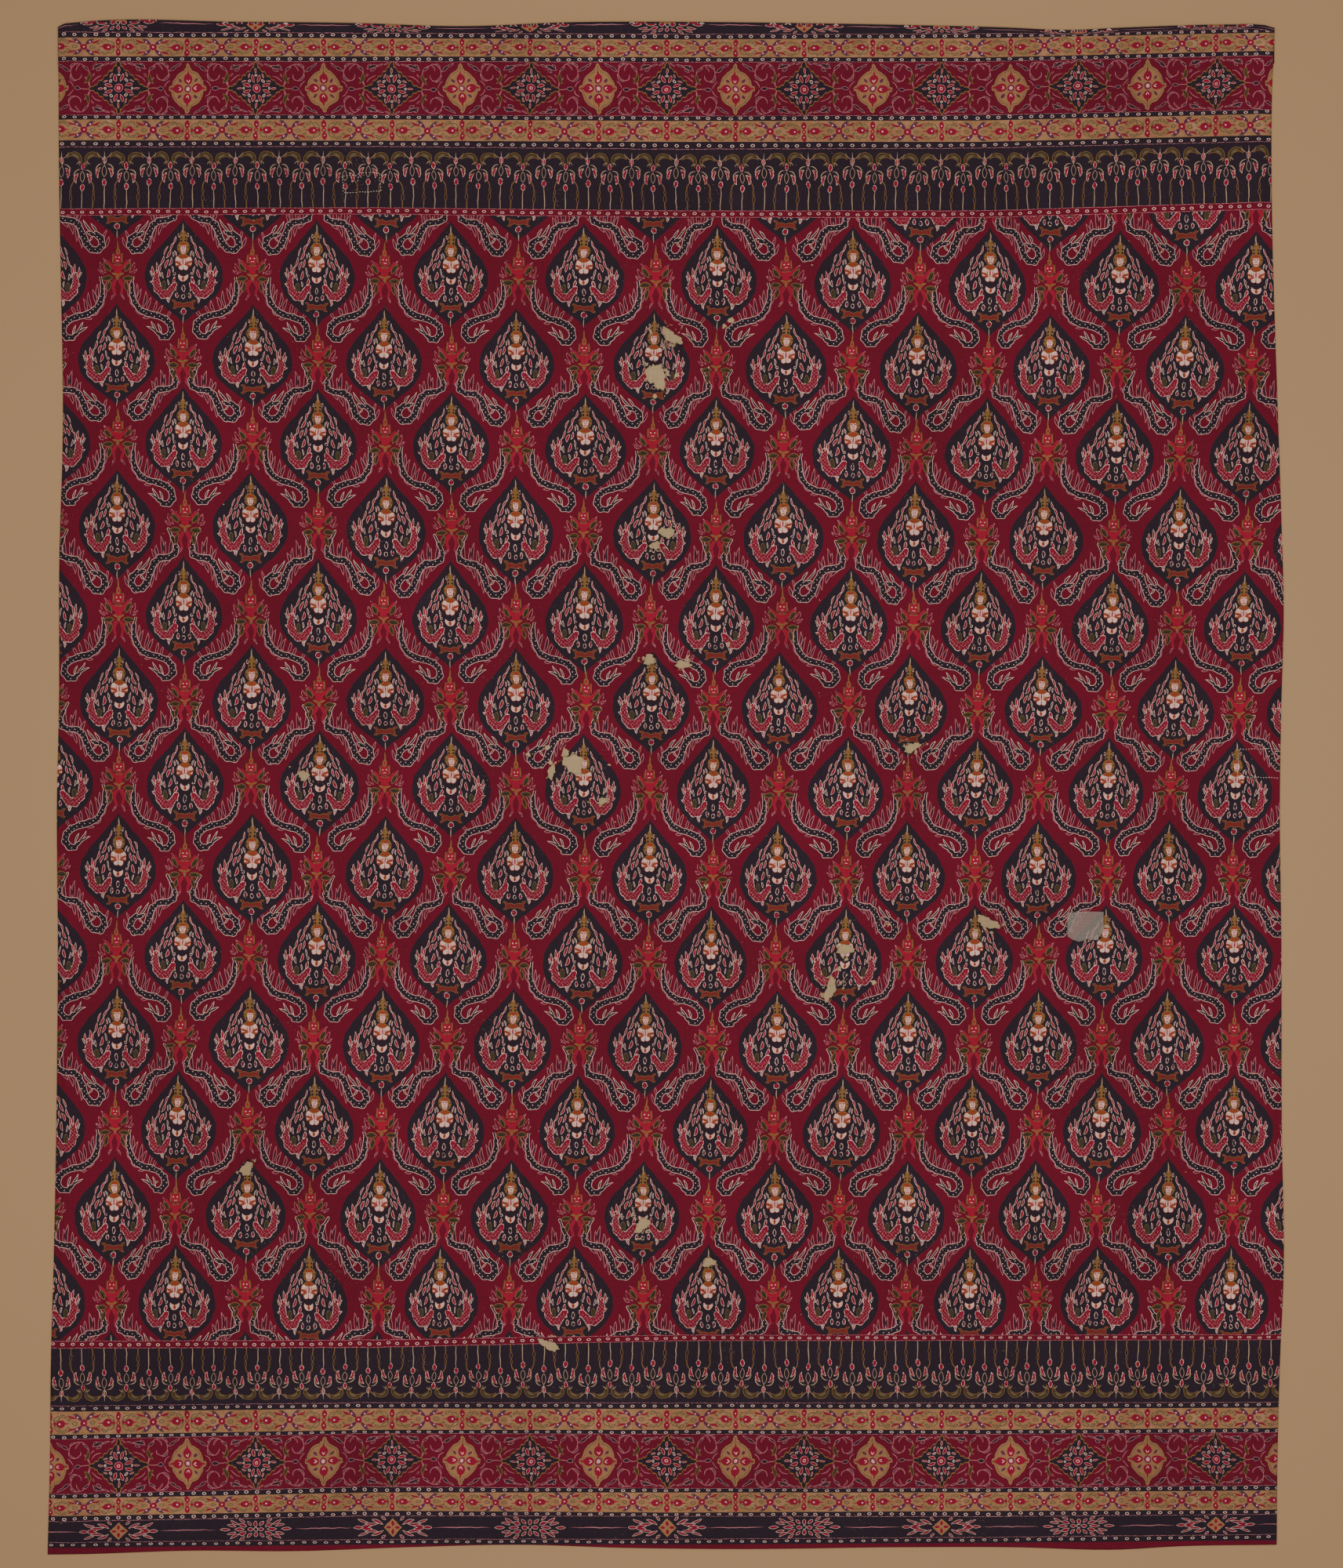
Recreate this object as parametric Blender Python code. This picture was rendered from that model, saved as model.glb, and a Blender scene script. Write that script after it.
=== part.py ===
"""A resist-dyed cotton cloth, laid flat on its plain backing cloth, with the top edge turned under.

Three pieces: the dyed cloth, worn through in places, the undyed backing that shows in those holes,
and a small sheer patch laid over one of them. Metres, +Z up, +Y towards the turned edge. The origin
is on the surface that the cloth lies on, under the middle of the whole.
"""

import math

import bmesh
import bpy
import numpy as np

MM = 0.001

# How thick each layer is, and the clearance left between two layers.
CLOTH_THICK = 1.2 * MM
BACKING_THICK = 1.0 * MM
PATCH_THICK = 1.0 * MM
GAP = 0.3 * MM

# The turned edge: how deep it is, and where the layers above it come down to the flat again.
HEM_DEPTH = 29 * MM
RAMP_START = 31 * MM
RAMP_END = 45 * MM
FOLD_STEPS = 6

# The backing is cut smaller, and the cloth comes down past its edges to the surface.
BACKING_INSET = 10 * MM
BACKING_TOP_INSET = 5 * MM
EDGE_FLAT = 2 * MM
EDGE_RISE = 9 * MM
EDGE_STEPS = 4

FIELD_COLUMNS = 18
FIELD_ROWS = 15
RAMP_STEPS = 4

HALF_WIDTH = 529.5 * MM
HALF_HEIGHT = 656.5 * MM

# The four cut edges as they lie, in millimetres: place along the edge, place of the edge.
LEFT_EDGE = [
    (-656, -529.5), (-574, -527.5), (-494, -526.8), (-413, -524.5), (-292, -522.1), (-131, -520.8),
    (-10, -521.5), (71, -519.8), (192, -519.5), (313, -516.4), (434, -518.1), (514, -519.5), (652, -520.3),
]
RIGHT_EDGE = [
    (-648, 523.5), (-574, 524.2), (-494, 526.2), (-413, 529.5), (-292, 527.9), (-131, 527.5), (-10, 526.2),
    (71, 527.5), (152, 529.5), (232, 527.5), (313, 524.8), (394, 522.1), (474, 519.8), (595, 519.5), (652, 521.5),
]
TOP_EDGE = [
    (-520, 652.4), (-516, 654.6), (-508, 655.6), (-362, 656.5), (-268, 655.5), (-174, 652.8), (-80, 656.2),
    (14, 656.5), (108, 655.5), (202, 653.9), (296, 651.5), (343, 649.5), (390, 651.5), (484, 654.2),
    (512, 653.9), (521, 651.5),
]
BOTTOM_EDGE = [
    (-529, -656.5), (-503, -656.2), (-409, -653.2), (-315, -653.5), (-221, -650.2), (-127, -648.1),
    (-33, -650.8), (61, -651.8), (202, -650.2), (296, -650.2), (390, -652.2), (438, -649.5), (523, -648.1),
]

# Holes worn through the dyed cloth, in millimetres: middle x, middle y, width, height, turn in degrees.
HOLES = [
    (-8, 353, 16, 21, 5), (5, 387, 14, 11, 30), (-82, 22, 20, 17, 70), (-96, 14, 8, 12, 0),
    (275, -117, 18, 12, 160), (140, -174, 16, 19, 40), (154, -138, 17, 9, 10), (-20, -374, 14, 10, 60),
    (-14, 110, 11, 8, 20), (15, 106, 15, 6, 170), (211, 35, 13, 8, 15), (1, 219, 10, 12, 90),
    (-9, 208, 9, 7, 45), (-359, -326, 12, 10, 25), (-100, -477, 17, 8, 150), (-310, 11, 10, 8, 35),
    (37, -406, 8, 11, 80), (-55, -12, 8, 7, 0),
]
HOLE_POINTS = 10

# The sheer patch's corners, in millimetres, with its worn lower side.
PATCH_CORNERS = [
    (343.5, -106.5), (344.2, -127.0), (354.0, -131.4), (369.0, -130.0), (375.6, -121.5), (375.0, -105.8),
]


def clear_scene():
    for thing in list(bpy.data.objects):
        bpy.data.objects.remove(thing)


def cotton(name, colour, roughness):
    """A plain woven cotton finish of this linear colour."""
    material = bpy.data.materials.new(name)
    material.use_nodes = True
    shader = material.node_tree.nodes["Principled BSDF"]
    shader.inputs["Base Color"].default_value = (*colour, 1)
    shader.inputs["Roughness"].default_value = roughness
    shader.inputs["Metallic"].default_value = 0
    return material


def edge_at(edge, along):
    """Where an edge lies at this place along it, in metres, on a smooth curve through its rows."""
    places, values = np.array(edge, float).T * MM
    slopes = np.gradient(values, places)
    along = min(max(along, places[0]), places[-1])
    i = min(np.searchsorted(places, along, side="right") - 1, len(places) - 2)
    span = places[i + 1] - places[i]
    t = (along - places[i]) / span
    start = (2 * t**3 - 3 * t**2 + 1) * values[i] + (t**3 - 2 * t**2 + t) * span * slopes[i]
    end = (3 * t**2 - 2 * t**3) * values[i + 1] + (t**3 - t**2) * span * slopes[i + 1]
    return start + end


def on_cloth(across, up):
    """The x and y of a point of the cloth, from its shares of the width and of the height."""
    y = HALF_HEIGHT * (2 * up - 1)
    left, right = edge_at(LEFT_EDGE, y), edge_at(RIGHT_EDGE, y)
    x = left + (right - left) * across
    bottom, top = edge_at(BOTTOM_EDGE, x), edge_at(TOP_EDGE, x)
    return x, bottom + (top - bottom) * up


def eased(value, low, high):
    """0 below low and 1 above high, with a smooth rise between."""
    t = min(max((value - low) / (high - low), 0), 1)
    return t * t * (3 - 2 * t)


def steps(low, high, count):
    return [low + (high - low) * i / count for i in range(count + 1)]


def edge_lift(distance):
    """How far the backing's edge lifts the cloth, at this distance from the cloth's own edge."""
    return (BACKING_THICK + GAP) * eased(distance, EDGE_FLAT, EDGE_RISE)


def hem_lift(from_top):
    """How far the turned edge lifts the layers above it, at this distance from the fold."""
    return (CLOTH_THICK + GAP) * (1 - eased(from_top, RAMP_START, RAMP_END))


def placed_sheet(name, columns, rows, place, thickness, material):
    """A sheet of even thickness: a grid whose points are placed by their column and row."""
    shape = bmesh.new()
    bmesh.ops.create_grid(shape, x_segments=len(columns) - 1, y_segments=len(rows) - 1, size=0.5)
    for point in shape.verts:
        column = round((point.co.x + 0.5) * (len(columns) - 1))
        row = round((point.co.y + 0.5) * (len(rows) - 1))
        point.co = place(columns[column], rows[row])
    mesh = bpy.data.meshes.new(name)
    shape.to_mesh(mesh)
    shape.free()
    mesh.shade_smooth()
    mesh.materials.append(material)
    sheet = bpy.data.objects.new(name, mesh)
    bpy.context.scene.collection.objects.link(sheet)
    body = sheet.modifiers.new("thickness", "SOLIDIFY")
    body.thickness = thickness
    body.offset = 0
    body.use_even_offset = True
    return sheet


def cloth_columns():
    """Shares of the width, closer together near the two side edges."""
    width = 2 * HALF_WIDTH
    near = [0] + [d / width for d in steps(EDGE_FLAT, EDGE_RISE, EDGE_STEPS)]
    middle = steps(near[-1], 1 - near[-1], FIELD_COLUMNS)
    return near + middle[1:-1] + [1 - share for share in reversed(near)]


def make_cloth(material):
    """The dyed cloth, from its bottom edge up over the backing, round the fold and back under it."""
    height = 2 * HALF_HEIGHT
    bottom_rows = [0] + [d / height for d in steps(EDGE_FLAT, EDGE_RISE, EDGE_STEPS)]
    ramp_rows = [1 - d / height for d in steps(RAMP_END, RAMP_START, RAMP_STEPS)]
    field_rows = steps(bottom_rows[-1], ramp_rows[0], FIELD_ROWS)[1:-1]
    flat = [("over", share) for share in bottom_rows + field_rows + ramp_rows]
    fold = [("fold", angle) for angle in steps(0, math.pi, FOLD_STEPS)]
    under = [("under", depth) for depth in steps(0, HEM_DEPTH, 2)[1:]]

    def place(across, row):
        kind, value = row
        side_distance = min(across, 1 - across) * 2 * HALF_WIDTH
        if kind == "over":
            x, y = on_cloth(across, value)
            lift = edge_lift(min(side_distance, value * height)) + hem_lift((1 - value) * height)
            return x, y, CLOTH_THICK / 2 + lift
        x, top = on_cloth(across, 1)
        upper = CLOTH_THICK / 2 + edge_lift(side_distance) + hem_lift(0)
        radius = (upper - CLOTH_THICK / 2) / 2
        if kind == "under":
            return x, top - CLOTH_THICK / 2 - radius - value, CLOTH_THICK / 2
        middle = CLOTH_THICK / 2 + radius
        reach = radius * math.sin(value) - radius
        return x, top - CLOTH_THICK / 2 + reach, middle + radius * math.cos(value)

    return placed_sheet("cloth", cloth_columns(), flat + fold + under, place, CLOTH_THICK, material)


def make_backing(material):
    """The undyed backing, cut smaller than the cloth and flat on the surface but for its top strip."""
    width, height = 2 * HALF_WIDTH, 2 * HALF_HEIGHT
    inset, top_inset = BACKING_INSET / width, 1 - BACKING_TOP_INSET / height
    columns = steps(inset, 1 - inset, FIELD_COLUMNS)
    ramp_rows = [1 - d / height for d in steps(RAMP_END, RAMP_START, RAMP_STEPS)]
    rows = steps(BACKING_INSET / height, ramp_rows[0], FIELD_ROWS) + ramp_rows[1:] + [top_inset]

    def place(across, up):
        x, y = on_cloth(across, up)
        return x, y, BACKING_THICK / 2 + hem_lift((1 - up) * height)

    return placed_sheet("backing", columns, rows, place, BACKING_THICK, material)


def hole_outline(width, height, turn):
    """A ragged round outline about the origin, drawn by three uneven waves on an ellipse."""
    points = []
    for i in range(HOLE_POINTS):
        angle = 2 * math.pi * i / HOLE_POINTS
        phase = math.radians(turn) + width
        ragged = 1 + 0.16 * math.sin(2 * angle + phase) + 0.12 * math.sin(3 * angle + 2 * phase)
        points.append((width / 2 * ragged * math.cos(angle), height / 2 * ragged * math.sin(angle)))
    return points


def prism(name, outline, low, high):
    """An upright solid on this outline, which is in metres and runs either way round."""
    shape = bmesh.new()
    face = shape.faces.new([shape.verts.new((x, y, low)) for x, y in outline])
    raised = bmesh.ops.extrude_face_region(shape, geom=[face])["geom"]
    points = [item for item in raised if isinstance(item, bmesh.types.BMVert)]
    bmesh.ops.translate(shape, verts=points, vec=(0, 0, high - low))
    bmesh.ops.recalc_face_normals(shape, faces=shape.faces)
    mesh = bpy.data.meshes.new(name)
    shape.to_mesh(mesh)
    shape.free()
    solid = bpy.data.objects.new(name, mesh)
    bpy.context.scene.collection.objects.link(solid)
    return solid


def wear_holes(cloth):
    """Cuts the worn holes through the dyed cloth."""
    flat_top = BACKING_THICK + GAP + CLOTH_THICK
    for number, (x, y, width, height, turn) in enumerate(HOLES, 1):
        cos, sin = math.cos(math.radians(turn)), math.sin(math.radians(turn))
        outline = [
            ((x + cos * px - sin * py) * MM, (y + sin * px + cos * py) * MM)
            for px, py in hole_outline(width, height, turn)
        ]
        cutter = prism(f"hole_cutter_{number:02d}", outline, BACKING_THICK / 2, flat_top + CLOTH_THICK)
        cutter.hide_render = True
        cutter.display_type = "WIRE"
        cut = cloth.modifiers.new(f"hole_{number:02d}", "BOOLEAN")
        cut.operation = "DIFFERENCE"
        cut.solver = "EXACT"
        cut.object = cutter


def make_patch(material):
    """The sheer patch, flat on the dyed cloth."""
    low = BACKING_THICK + GAP + CLOTH_THICK + GAP
    outline = [(x * MM, y * MM) for x, y in PATCH_CORNERS]
    patch = prism("sheer_patch", outline, low, low + PATCH_THICK)
    patch.data.materials.append(material)


def main():
    clear_scene()
    wear_holes(make_cloth(cotton("dyed_cotton", (0.125, 0.018, 0.028), 0.9)))
    make_backing(cotton("undyed_cotton", (0.42, 0.29, 0.18), 0.92))
    make_patch(cotton("sheer_net", (0.25, 0.19, 0.16), 0.85))


main()
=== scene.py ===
import functools
import math

import bmesh
import bpy
import numpy as np
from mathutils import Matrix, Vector


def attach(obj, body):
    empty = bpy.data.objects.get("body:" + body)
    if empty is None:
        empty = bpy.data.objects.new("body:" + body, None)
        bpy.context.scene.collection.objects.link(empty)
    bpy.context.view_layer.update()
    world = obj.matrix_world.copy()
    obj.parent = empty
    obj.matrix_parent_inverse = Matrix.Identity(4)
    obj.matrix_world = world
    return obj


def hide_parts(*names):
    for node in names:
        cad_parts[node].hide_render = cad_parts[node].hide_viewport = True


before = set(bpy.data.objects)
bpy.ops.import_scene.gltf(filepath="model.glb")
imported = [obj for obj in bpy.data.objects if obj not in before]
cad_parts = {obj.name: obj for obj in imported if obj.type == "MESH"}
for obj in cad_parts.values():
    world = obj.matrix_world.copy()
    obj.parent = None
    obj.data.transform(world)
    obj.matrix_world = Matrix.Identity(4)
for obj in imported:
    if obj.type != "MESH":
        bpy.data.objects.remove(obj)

bl_info = {
    "name": "Resist-dyed cloth",
    "version": (1, 0, 0),
    "blender": (4, 5, 0),
    "location": "3D View > Sidebar > Dyed Cloth",
    "description": "Builds a hand-drawn resist-dyed cotton cloth on its backing, with its repairs",
    "category": "Object",
}

MM = 0.001

# The layers, as they lie: the backing, the cloth and the patch, with the clearance between them.
CLOTH_THICK = 1.2 * MM
BACKING_THICK = 1.0 * MM
PATCH_THICK = 1.0 * MM
GAP = 0.3 * MM
HEM_DEPTH = 29 * MM
RAMP_START = 31 * MM
RAMP_END = 45 * MM
FOLD_STEPS = 8
BACKING_INSET = 10 * MM
BACKING_TOP_INSET = 5 * MM
EDGE_FLAT = 2 * MM
EDGE_RISE = 9 * MM
EDGE_STEPS = 4
HALF_WIDTH = 529.5 * MM
HALF_HEIGHT = 656.5 * MM

# The four edges as they lie, in millimetres: place along the edge, place of the edge.
LEFT_EDGE = (
    (-656, -529.5), (-574, -527.5), (-494, -526.8), (-413, -524.5), (-292, -522.1), (-131, -520.8),
    (-10, -521.5), (71, -519.8), (192, -519.5), (313, -516.4), (434, -518.1), (514, -519.5), (652, -520.3),
)
RIGHT_EDGE = (
    (-648, 523.5), (-574, 524.2), (-494, 526.2), (-413, 529.5), (-292, 527.9), (-131, 527.5), (-10, 526.2),
    (71, 527.5), (152, 529.5), (232, 527.5), (313, 524.8), (394, 522.1), (474, 519.8), (595, 519.5),
    (652, 521.5),
)
TOP_EDGE = (
    (-520, 652.4), (-516, 654.6), (-508, 655.6), (-362, 656.5), (-268, 655.5), (-174, 652.8), (-80, 656.2),
    (14, 656.5), (108, 655.5), (202, 653.9), (296, 651.5), (343, 649.5), (390, 651.5), (484, 654.2),
    (512, 653.9), (521, 651.5),
)
BOTTOM_EDGE = (
    (-529, -656.5), (-503, -656.2), (-409, -653.2), (-315, -653.5), (-221, -650.2), (-127, -648.1),
    (-33, -650.8), (61, -651.8), (202, -650.2), (296, -650.2), (390, -652.2), (438, -649.5), (523, -648.1),
)

# Worn holes, in millimetres: middle x, middle y, width, height, turn in degrees.
HOLES = [
    (-8, 353, 15, 23, 5), (5, 387, 18, 10, 145), (-79, 21, 20, 14, 175), (-98, 14, 6, 12, 0),
    (276, -115, 18, 10, 160), (141, -172, 9, 20, 170), (154, -138, 17, 7, 5), (-20, -374, 14, 10, 60),
    (-14, 110, 11, 8, 20), (15, 106, 15, 6, 170), (211, 35, 13, 8, 15), (1, 219, 10, 12, 90),
    (-9, 208, 9, 7, 45), (-359, -326, 12, 10, 25), (-100, -477, 17, 8, 150), (-310, 11, 10, 8, 35),
    (37, -406, 8, 11, 80), (-54, -11, 7, 7, 0),
]
HOLE_POINTS = 44

# Smaller worn spots, drawn and not cut, in millimetres: middle x, middle y, radius.
WORN_SPOTS = [
    (54, 123, 3.2), (35, -84, 3.0), (-292, 33, 2.8), (56, -160, 2.6), (149, -154, 3.2), (155, -160, 2.6),
    (-342, 193, 2.4), (6, 192, 2.4), (56, -121, 2.2), (178, -166, 3.2), (-100, -486, 2.6), (63, 16, 2.2),
    (-72, -260, 2.4), (-118, 29, 3.2), (495, -257, 2.4), (81, 634, 2.2), (16, 64, 2.0), (152, -171, 2.8),
    (46, -260, 2.2), (-101, 35, 3.4), (-48, 20, 2.8), (378, -118, 3.0), (384, -124, 2.4), (-86, 30, 4.2),
    (-88, -7, 2.6), (-107, 29, 1.8), (135, -177, 3.4), (168, -163, 2.6), (191, -117, 2.8), (198, -167, 2.0),
    (271, -112, 3.4), (0, 392, 3.2), (-3, 384, 2.6), (-9, 336, 3.0), (-1, 337, 2.6), (-17, 335, 2.0),
    (9, 354, 3.2), (-14, 405, 2.4), (56, 401, 3.4), (50, 396, 3.0), (43, 396, 2.4), (37, 360, 2.6),
    (56, 353, 2.4),
]

PATCH_CORNERS = [
    (343.5, -106.5), (344.2, -127.0), (348.5, -129.6), (354.0, -131.4), (361.0, -129.2), (369.0, -130.0),
    (372.5, -125.5), (375.6, -121.5), (374.8, -114.0), (375.0, -105.8), (359.0, -105.4),
]

# Rows of running stitches round two old repairs, in millimetres: from x, from y, to x, to y.
STITCH_ROWS = [
    (-263, 527.5, -245, 527.0), (-245, 527.0, -244, 511.0), (-263, 510.5, -244, 511.5),
    (-263, 527.5, -264, 519.0), (-277, 524.5, -264, 525.0), (-277, 524.5, -276, 510.5),
    (-276, 510.5, -264, 510.0), (491, 33.5, 525, 34.0), (491, 33.5, 490, 10.0), (490, 10.0, 525, 9.0),
]
# The turned edge: how far the fold reaches in from it, and the least width of the strip along it.
FOLD_REACH = 2.8 * MM
LEAST_END = 4.2 * MM

STITCH_LENGTH = 1.5 * MM
STITCH_PITCH = 2.3 * MM
STITCH_RADIUS = 0.3 * MM

# The lattice of the field: half of a column's pitch and a row's pitch, in millimetres.
HALF_COLUMN = 57.2
ROW = 73.25

# Each column's axis, in millimetres: its number, its x at the top, the middle and the bottom row.
COLUMNS = [
    (-10, -528, -525, -532), (-9, -470, -468, -474), (-8, -413, -412, -421), (-7, -354, -355, -360),
    (-6, -298, -297, -305), (-5, -240, -241, -246), (-4, -183, -185, -193), (-3, -127, -128, -134),
    (-2, -70, -69, -79), (-1, -9, -14, -19), (0, 44, 41, 36), (1, 103, 96, 92), (2, 161, 156, 147),
    (3, 217, 207, 207), (4, 278, 265, 261), (5, 329, 319, 317), (6, 389, 379, 367), (7, 446, 431, 430),
    (8, 505, 487, 485), (9, 562, 542, 542),
]

# Each row's level, in millimetres: its number, then its y at the left, the middle and the right.
ROWS = [
    (0, 438.5, 433.8, 427.7), (-1, 365.9, 359.9, 358.5), (-2, 296.0, 288.0, 282.6), (-3, 224.1, 215.4, 210.7),
    (-4, 146.8, 140.1, 136.8), (-5, 74.3, 69.6, 64.2), (-6, 3.7, -4.4, -3.0), (-7, -71.6, -76.9, -76.9),
    (-8, -144.1, -150.9, -145.5), (-9, -218.1, -221.4, -221.4), (-10, -292.0, -296.7, -293.3),
    (-11, -365.9, -367.2, -367.2), (-12, -441.2, -441.2, -441.2),
]
ROW_STATIONS = (-417, 41, 407)

# The border bands at the top, from the field outwards, in millimetres: what the band is, its full
# height as drawn, and its outer line's y at the five stations.
STATIONS = (-515, -253, 9, 271, 511)
FIELD_TOP = (490.6, 491.6, 488.9, 488.5, 495.6)
FIELD_BOTTOM = (-473.4, -472.1, -468.0, -468.0, -467.7)
TOP_BANDS = [
    ("stripe", 6.0, (496.6, 497.6, 494.9, 494.9, 502.3)),
    ("tendrils", 52.4, (549.0, 549.4, 547.0, 548.0, 553.7)),
    ("inner_dots", 5.7, (555.1, 554.7, 553.7, 553.7, 559.4)),
    ("ochre", 17.8, (572.9, 572.9, 571.5, 571.9, 577.6)),
    ("dots_out", 4.2, (576.9, 576.9, 575.9, 576.9, 581.6)),
    ("diamonds", 45.7, (622.3, 621.9, 621.6, 621.9, 627.0)),
    ("dots_in", 4.2, (626.6, 626.6, 626.0, 625.6, 631.3)),
    ("ochre", 17.8, (642.8, 642.1, 641.1, 642.1, 646.8)),
    ("dots_out", 4.2, (647.8, 646.8, 645.8, 646.1, 650.8)),
]
BOTTOM_BANDS = [
    ("stripe", 6.0, (-479.8, -479.1, -473.4, -473.1, -472.4)),
    ("tendrils", 52.4, (-528.9, -525.8, -526.2, -526.2, -525.5)),
    ("inner_dots", 5.7, (-533.9, -531.2, -531.6, -531.6, -530.5)),
    ("ochre", 17.8, (-553.7, -549.4, -549.4, -549.4, -548.0)),
    ("dots_out", 4.2, (-557.8, -552.7, -553.4, -553.4, -552.0)),
    ("diamonds", 45.7, (-604.5, -597.7, -599.4, -599.1, -596.7)),
    ("dots_in", 4.2, (-608.5, -603.1, -603.1, -603.1, -601.4)),
    ("ochre", 17.8, (-623.3, -618.6, -620.3, -618.9, -617.9)),
    ("dots_out", 4.2, (-628.3, -623.3, -623.6, -624.0, -621.9)),
    ("sprays", 19.2, (-645.8, -642.8, -642.8, -641.1, -638.7)),
    ("inner_dots", 5.7, (-650.5, -647.8, -647.8, -646.5, -644.1)),
]
SPRAY_HEIGHT = 19.2

# How far apart the sheet's own rows of points are in a band, in millimetres.
BAND_STEP = 9

# The borders' motifs keep step with the dark diamonds: one diamond's x and the pitch, in millimetres.
DIAMOND_X = -468.6
DIAMOND_PITCH = 117.47
TENDRIL_X = -518.8
TENDRIL_PITCH = 37.7

# The dyes, as they have aged, and the other colours, in sRGB.
INKS = {
    "crimson": "66051f", "dark": "271923", "white": "dcb3a3", "pink": "b06c70", "pale": "dca494",
    "ochre": "946844", "red": "860d2a", "bright": "94122a", "brown": "8c3a20", "olive": "40321e",
    "purple": "5c2440", "stem": "a5876c", "bare": "ab906b", "thread": "d9cbb8", "rose": "8c2c3e",
    "pen": "64543a", "gold": "80592e", "rust": "702420", "wine": "640620", "scale": "780a24",
    "light": "a87c5a", "net": "8f8377", "floor": "b08a62",
}

# The weave, in steps to the millimetre. A real thread is about 0.3 mm wide, too fine to show, so each
# is drawn 0.6 mm wide, and it changes along itself over about 20 mm.
THREAD_RATE = 1.6
WEFT_STREAK = 0.06
WARP_STREAK = 0.05
CLOUD_RATE = 0.011
SPECK_RATE = 0.9
PATCH_RATE = 0.016
WORN_RATE = 0.2
# How bright the darkest and the palest threads are, and how far wear reaches round a hole in millimetres.
THREAD_SHADES = (0.66, 1.36)
WORN_REACH = 30.0
THREAD_RELIEF = 0.4 * MM

# The turned edge's dye comes from the middle of the spray band: its levels in that band, in millimetres.
FOLD_LEVEL = 10.4
FOLD_LEVELS = [(FOLD_LEVEL, 10.6), (10.6, 10.8), (10.8, 19.0)]
# Beyond this y and below this height the sheet is the turned-under strip, which needs no fine picture.
HEM_LINE = HALF_HEIGHT - 40 * MM
HIDDEN_HEIGHT = 2 * MM

# The picture layout, in shares of the picture: the strip that all but the upper face shares, and the
# clear margin.
PICTURE_STRIP = 0.03
PICTURE_MARGIN = 0.002

# The stage, in metres: each lamp's name, place, power in watts and width.
LAMPS = [("key_light", (0.35, 0.1, 2.2), 27, 1.2), ("fill_light", (-0.4, -0.15, 2.3), 19, 1.6)]
FLOOR_HALF = 6
CAMERA_LENS = 85
CAMERA_SENSOR = 36
CAMERA_REACH = 50
FRAME_MIDDLE = (0.005, 0.0037)

MATH = "ShaderNodeMath"
VECTOR = "ShaderNodeVectorMath"


def linear(hex_colour):
    """A linear colour with alpha from an sRGB hex one."""
    parts = [int(hex_colour[i:i + 2], 16) / 255 for i in (0, 2, 4)]
    return (*[c / 12.92 if c <= 0.04045 else ((c + 0.055) / 1.055) ** 2.4 for c in parts], 1)


def ink_colour(ink):
    """An ink's linear colour, from the settings where they hold it and else from the table."""
    for name, _ in GROUPS:
        settings = getattr(bpy.context.scene, name)
        if hasattr(settings, ink):
            return tuple(getattr(settings, ink))
    return linear(INKS[ink])


def ink_setting(ink, name, description):
    """A colour that a user can change, and that starts as the table's."""
    return bpy.props.FloatVectorProperty(
        name=name, description=description, default=linear(INKS[ink]), size=4, min=0, max=1, subtype="COLOR",
    )


def add(tree, kind, inputs=(), output=0, points=None, **settings):
    """Adds one node, with its settings and with its inputs set or linked, and gives one output."""
    node = tree.nodes.new(kind)
    for name, value in settings.items():
        setattr(node, name, value)
    for name, value in inputs.items() if hasattr(inputs, "items") else enumerate(inputs):
        if isinstance(value, bpy.types.NodeSocket):
            tree.links.new(value, node.inputs[name])
        else:
            node.inputs[name].default_value = value
    if points:
        curve = node.mapping.curves[0]
        while len(curve.points) < len(points):
            curve.points.new(0.5, 0.5)
        for point, place in zip(curve.points, points):
            point.location = place
        node.mapping.update()
    return node.outputs[output]


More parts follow.
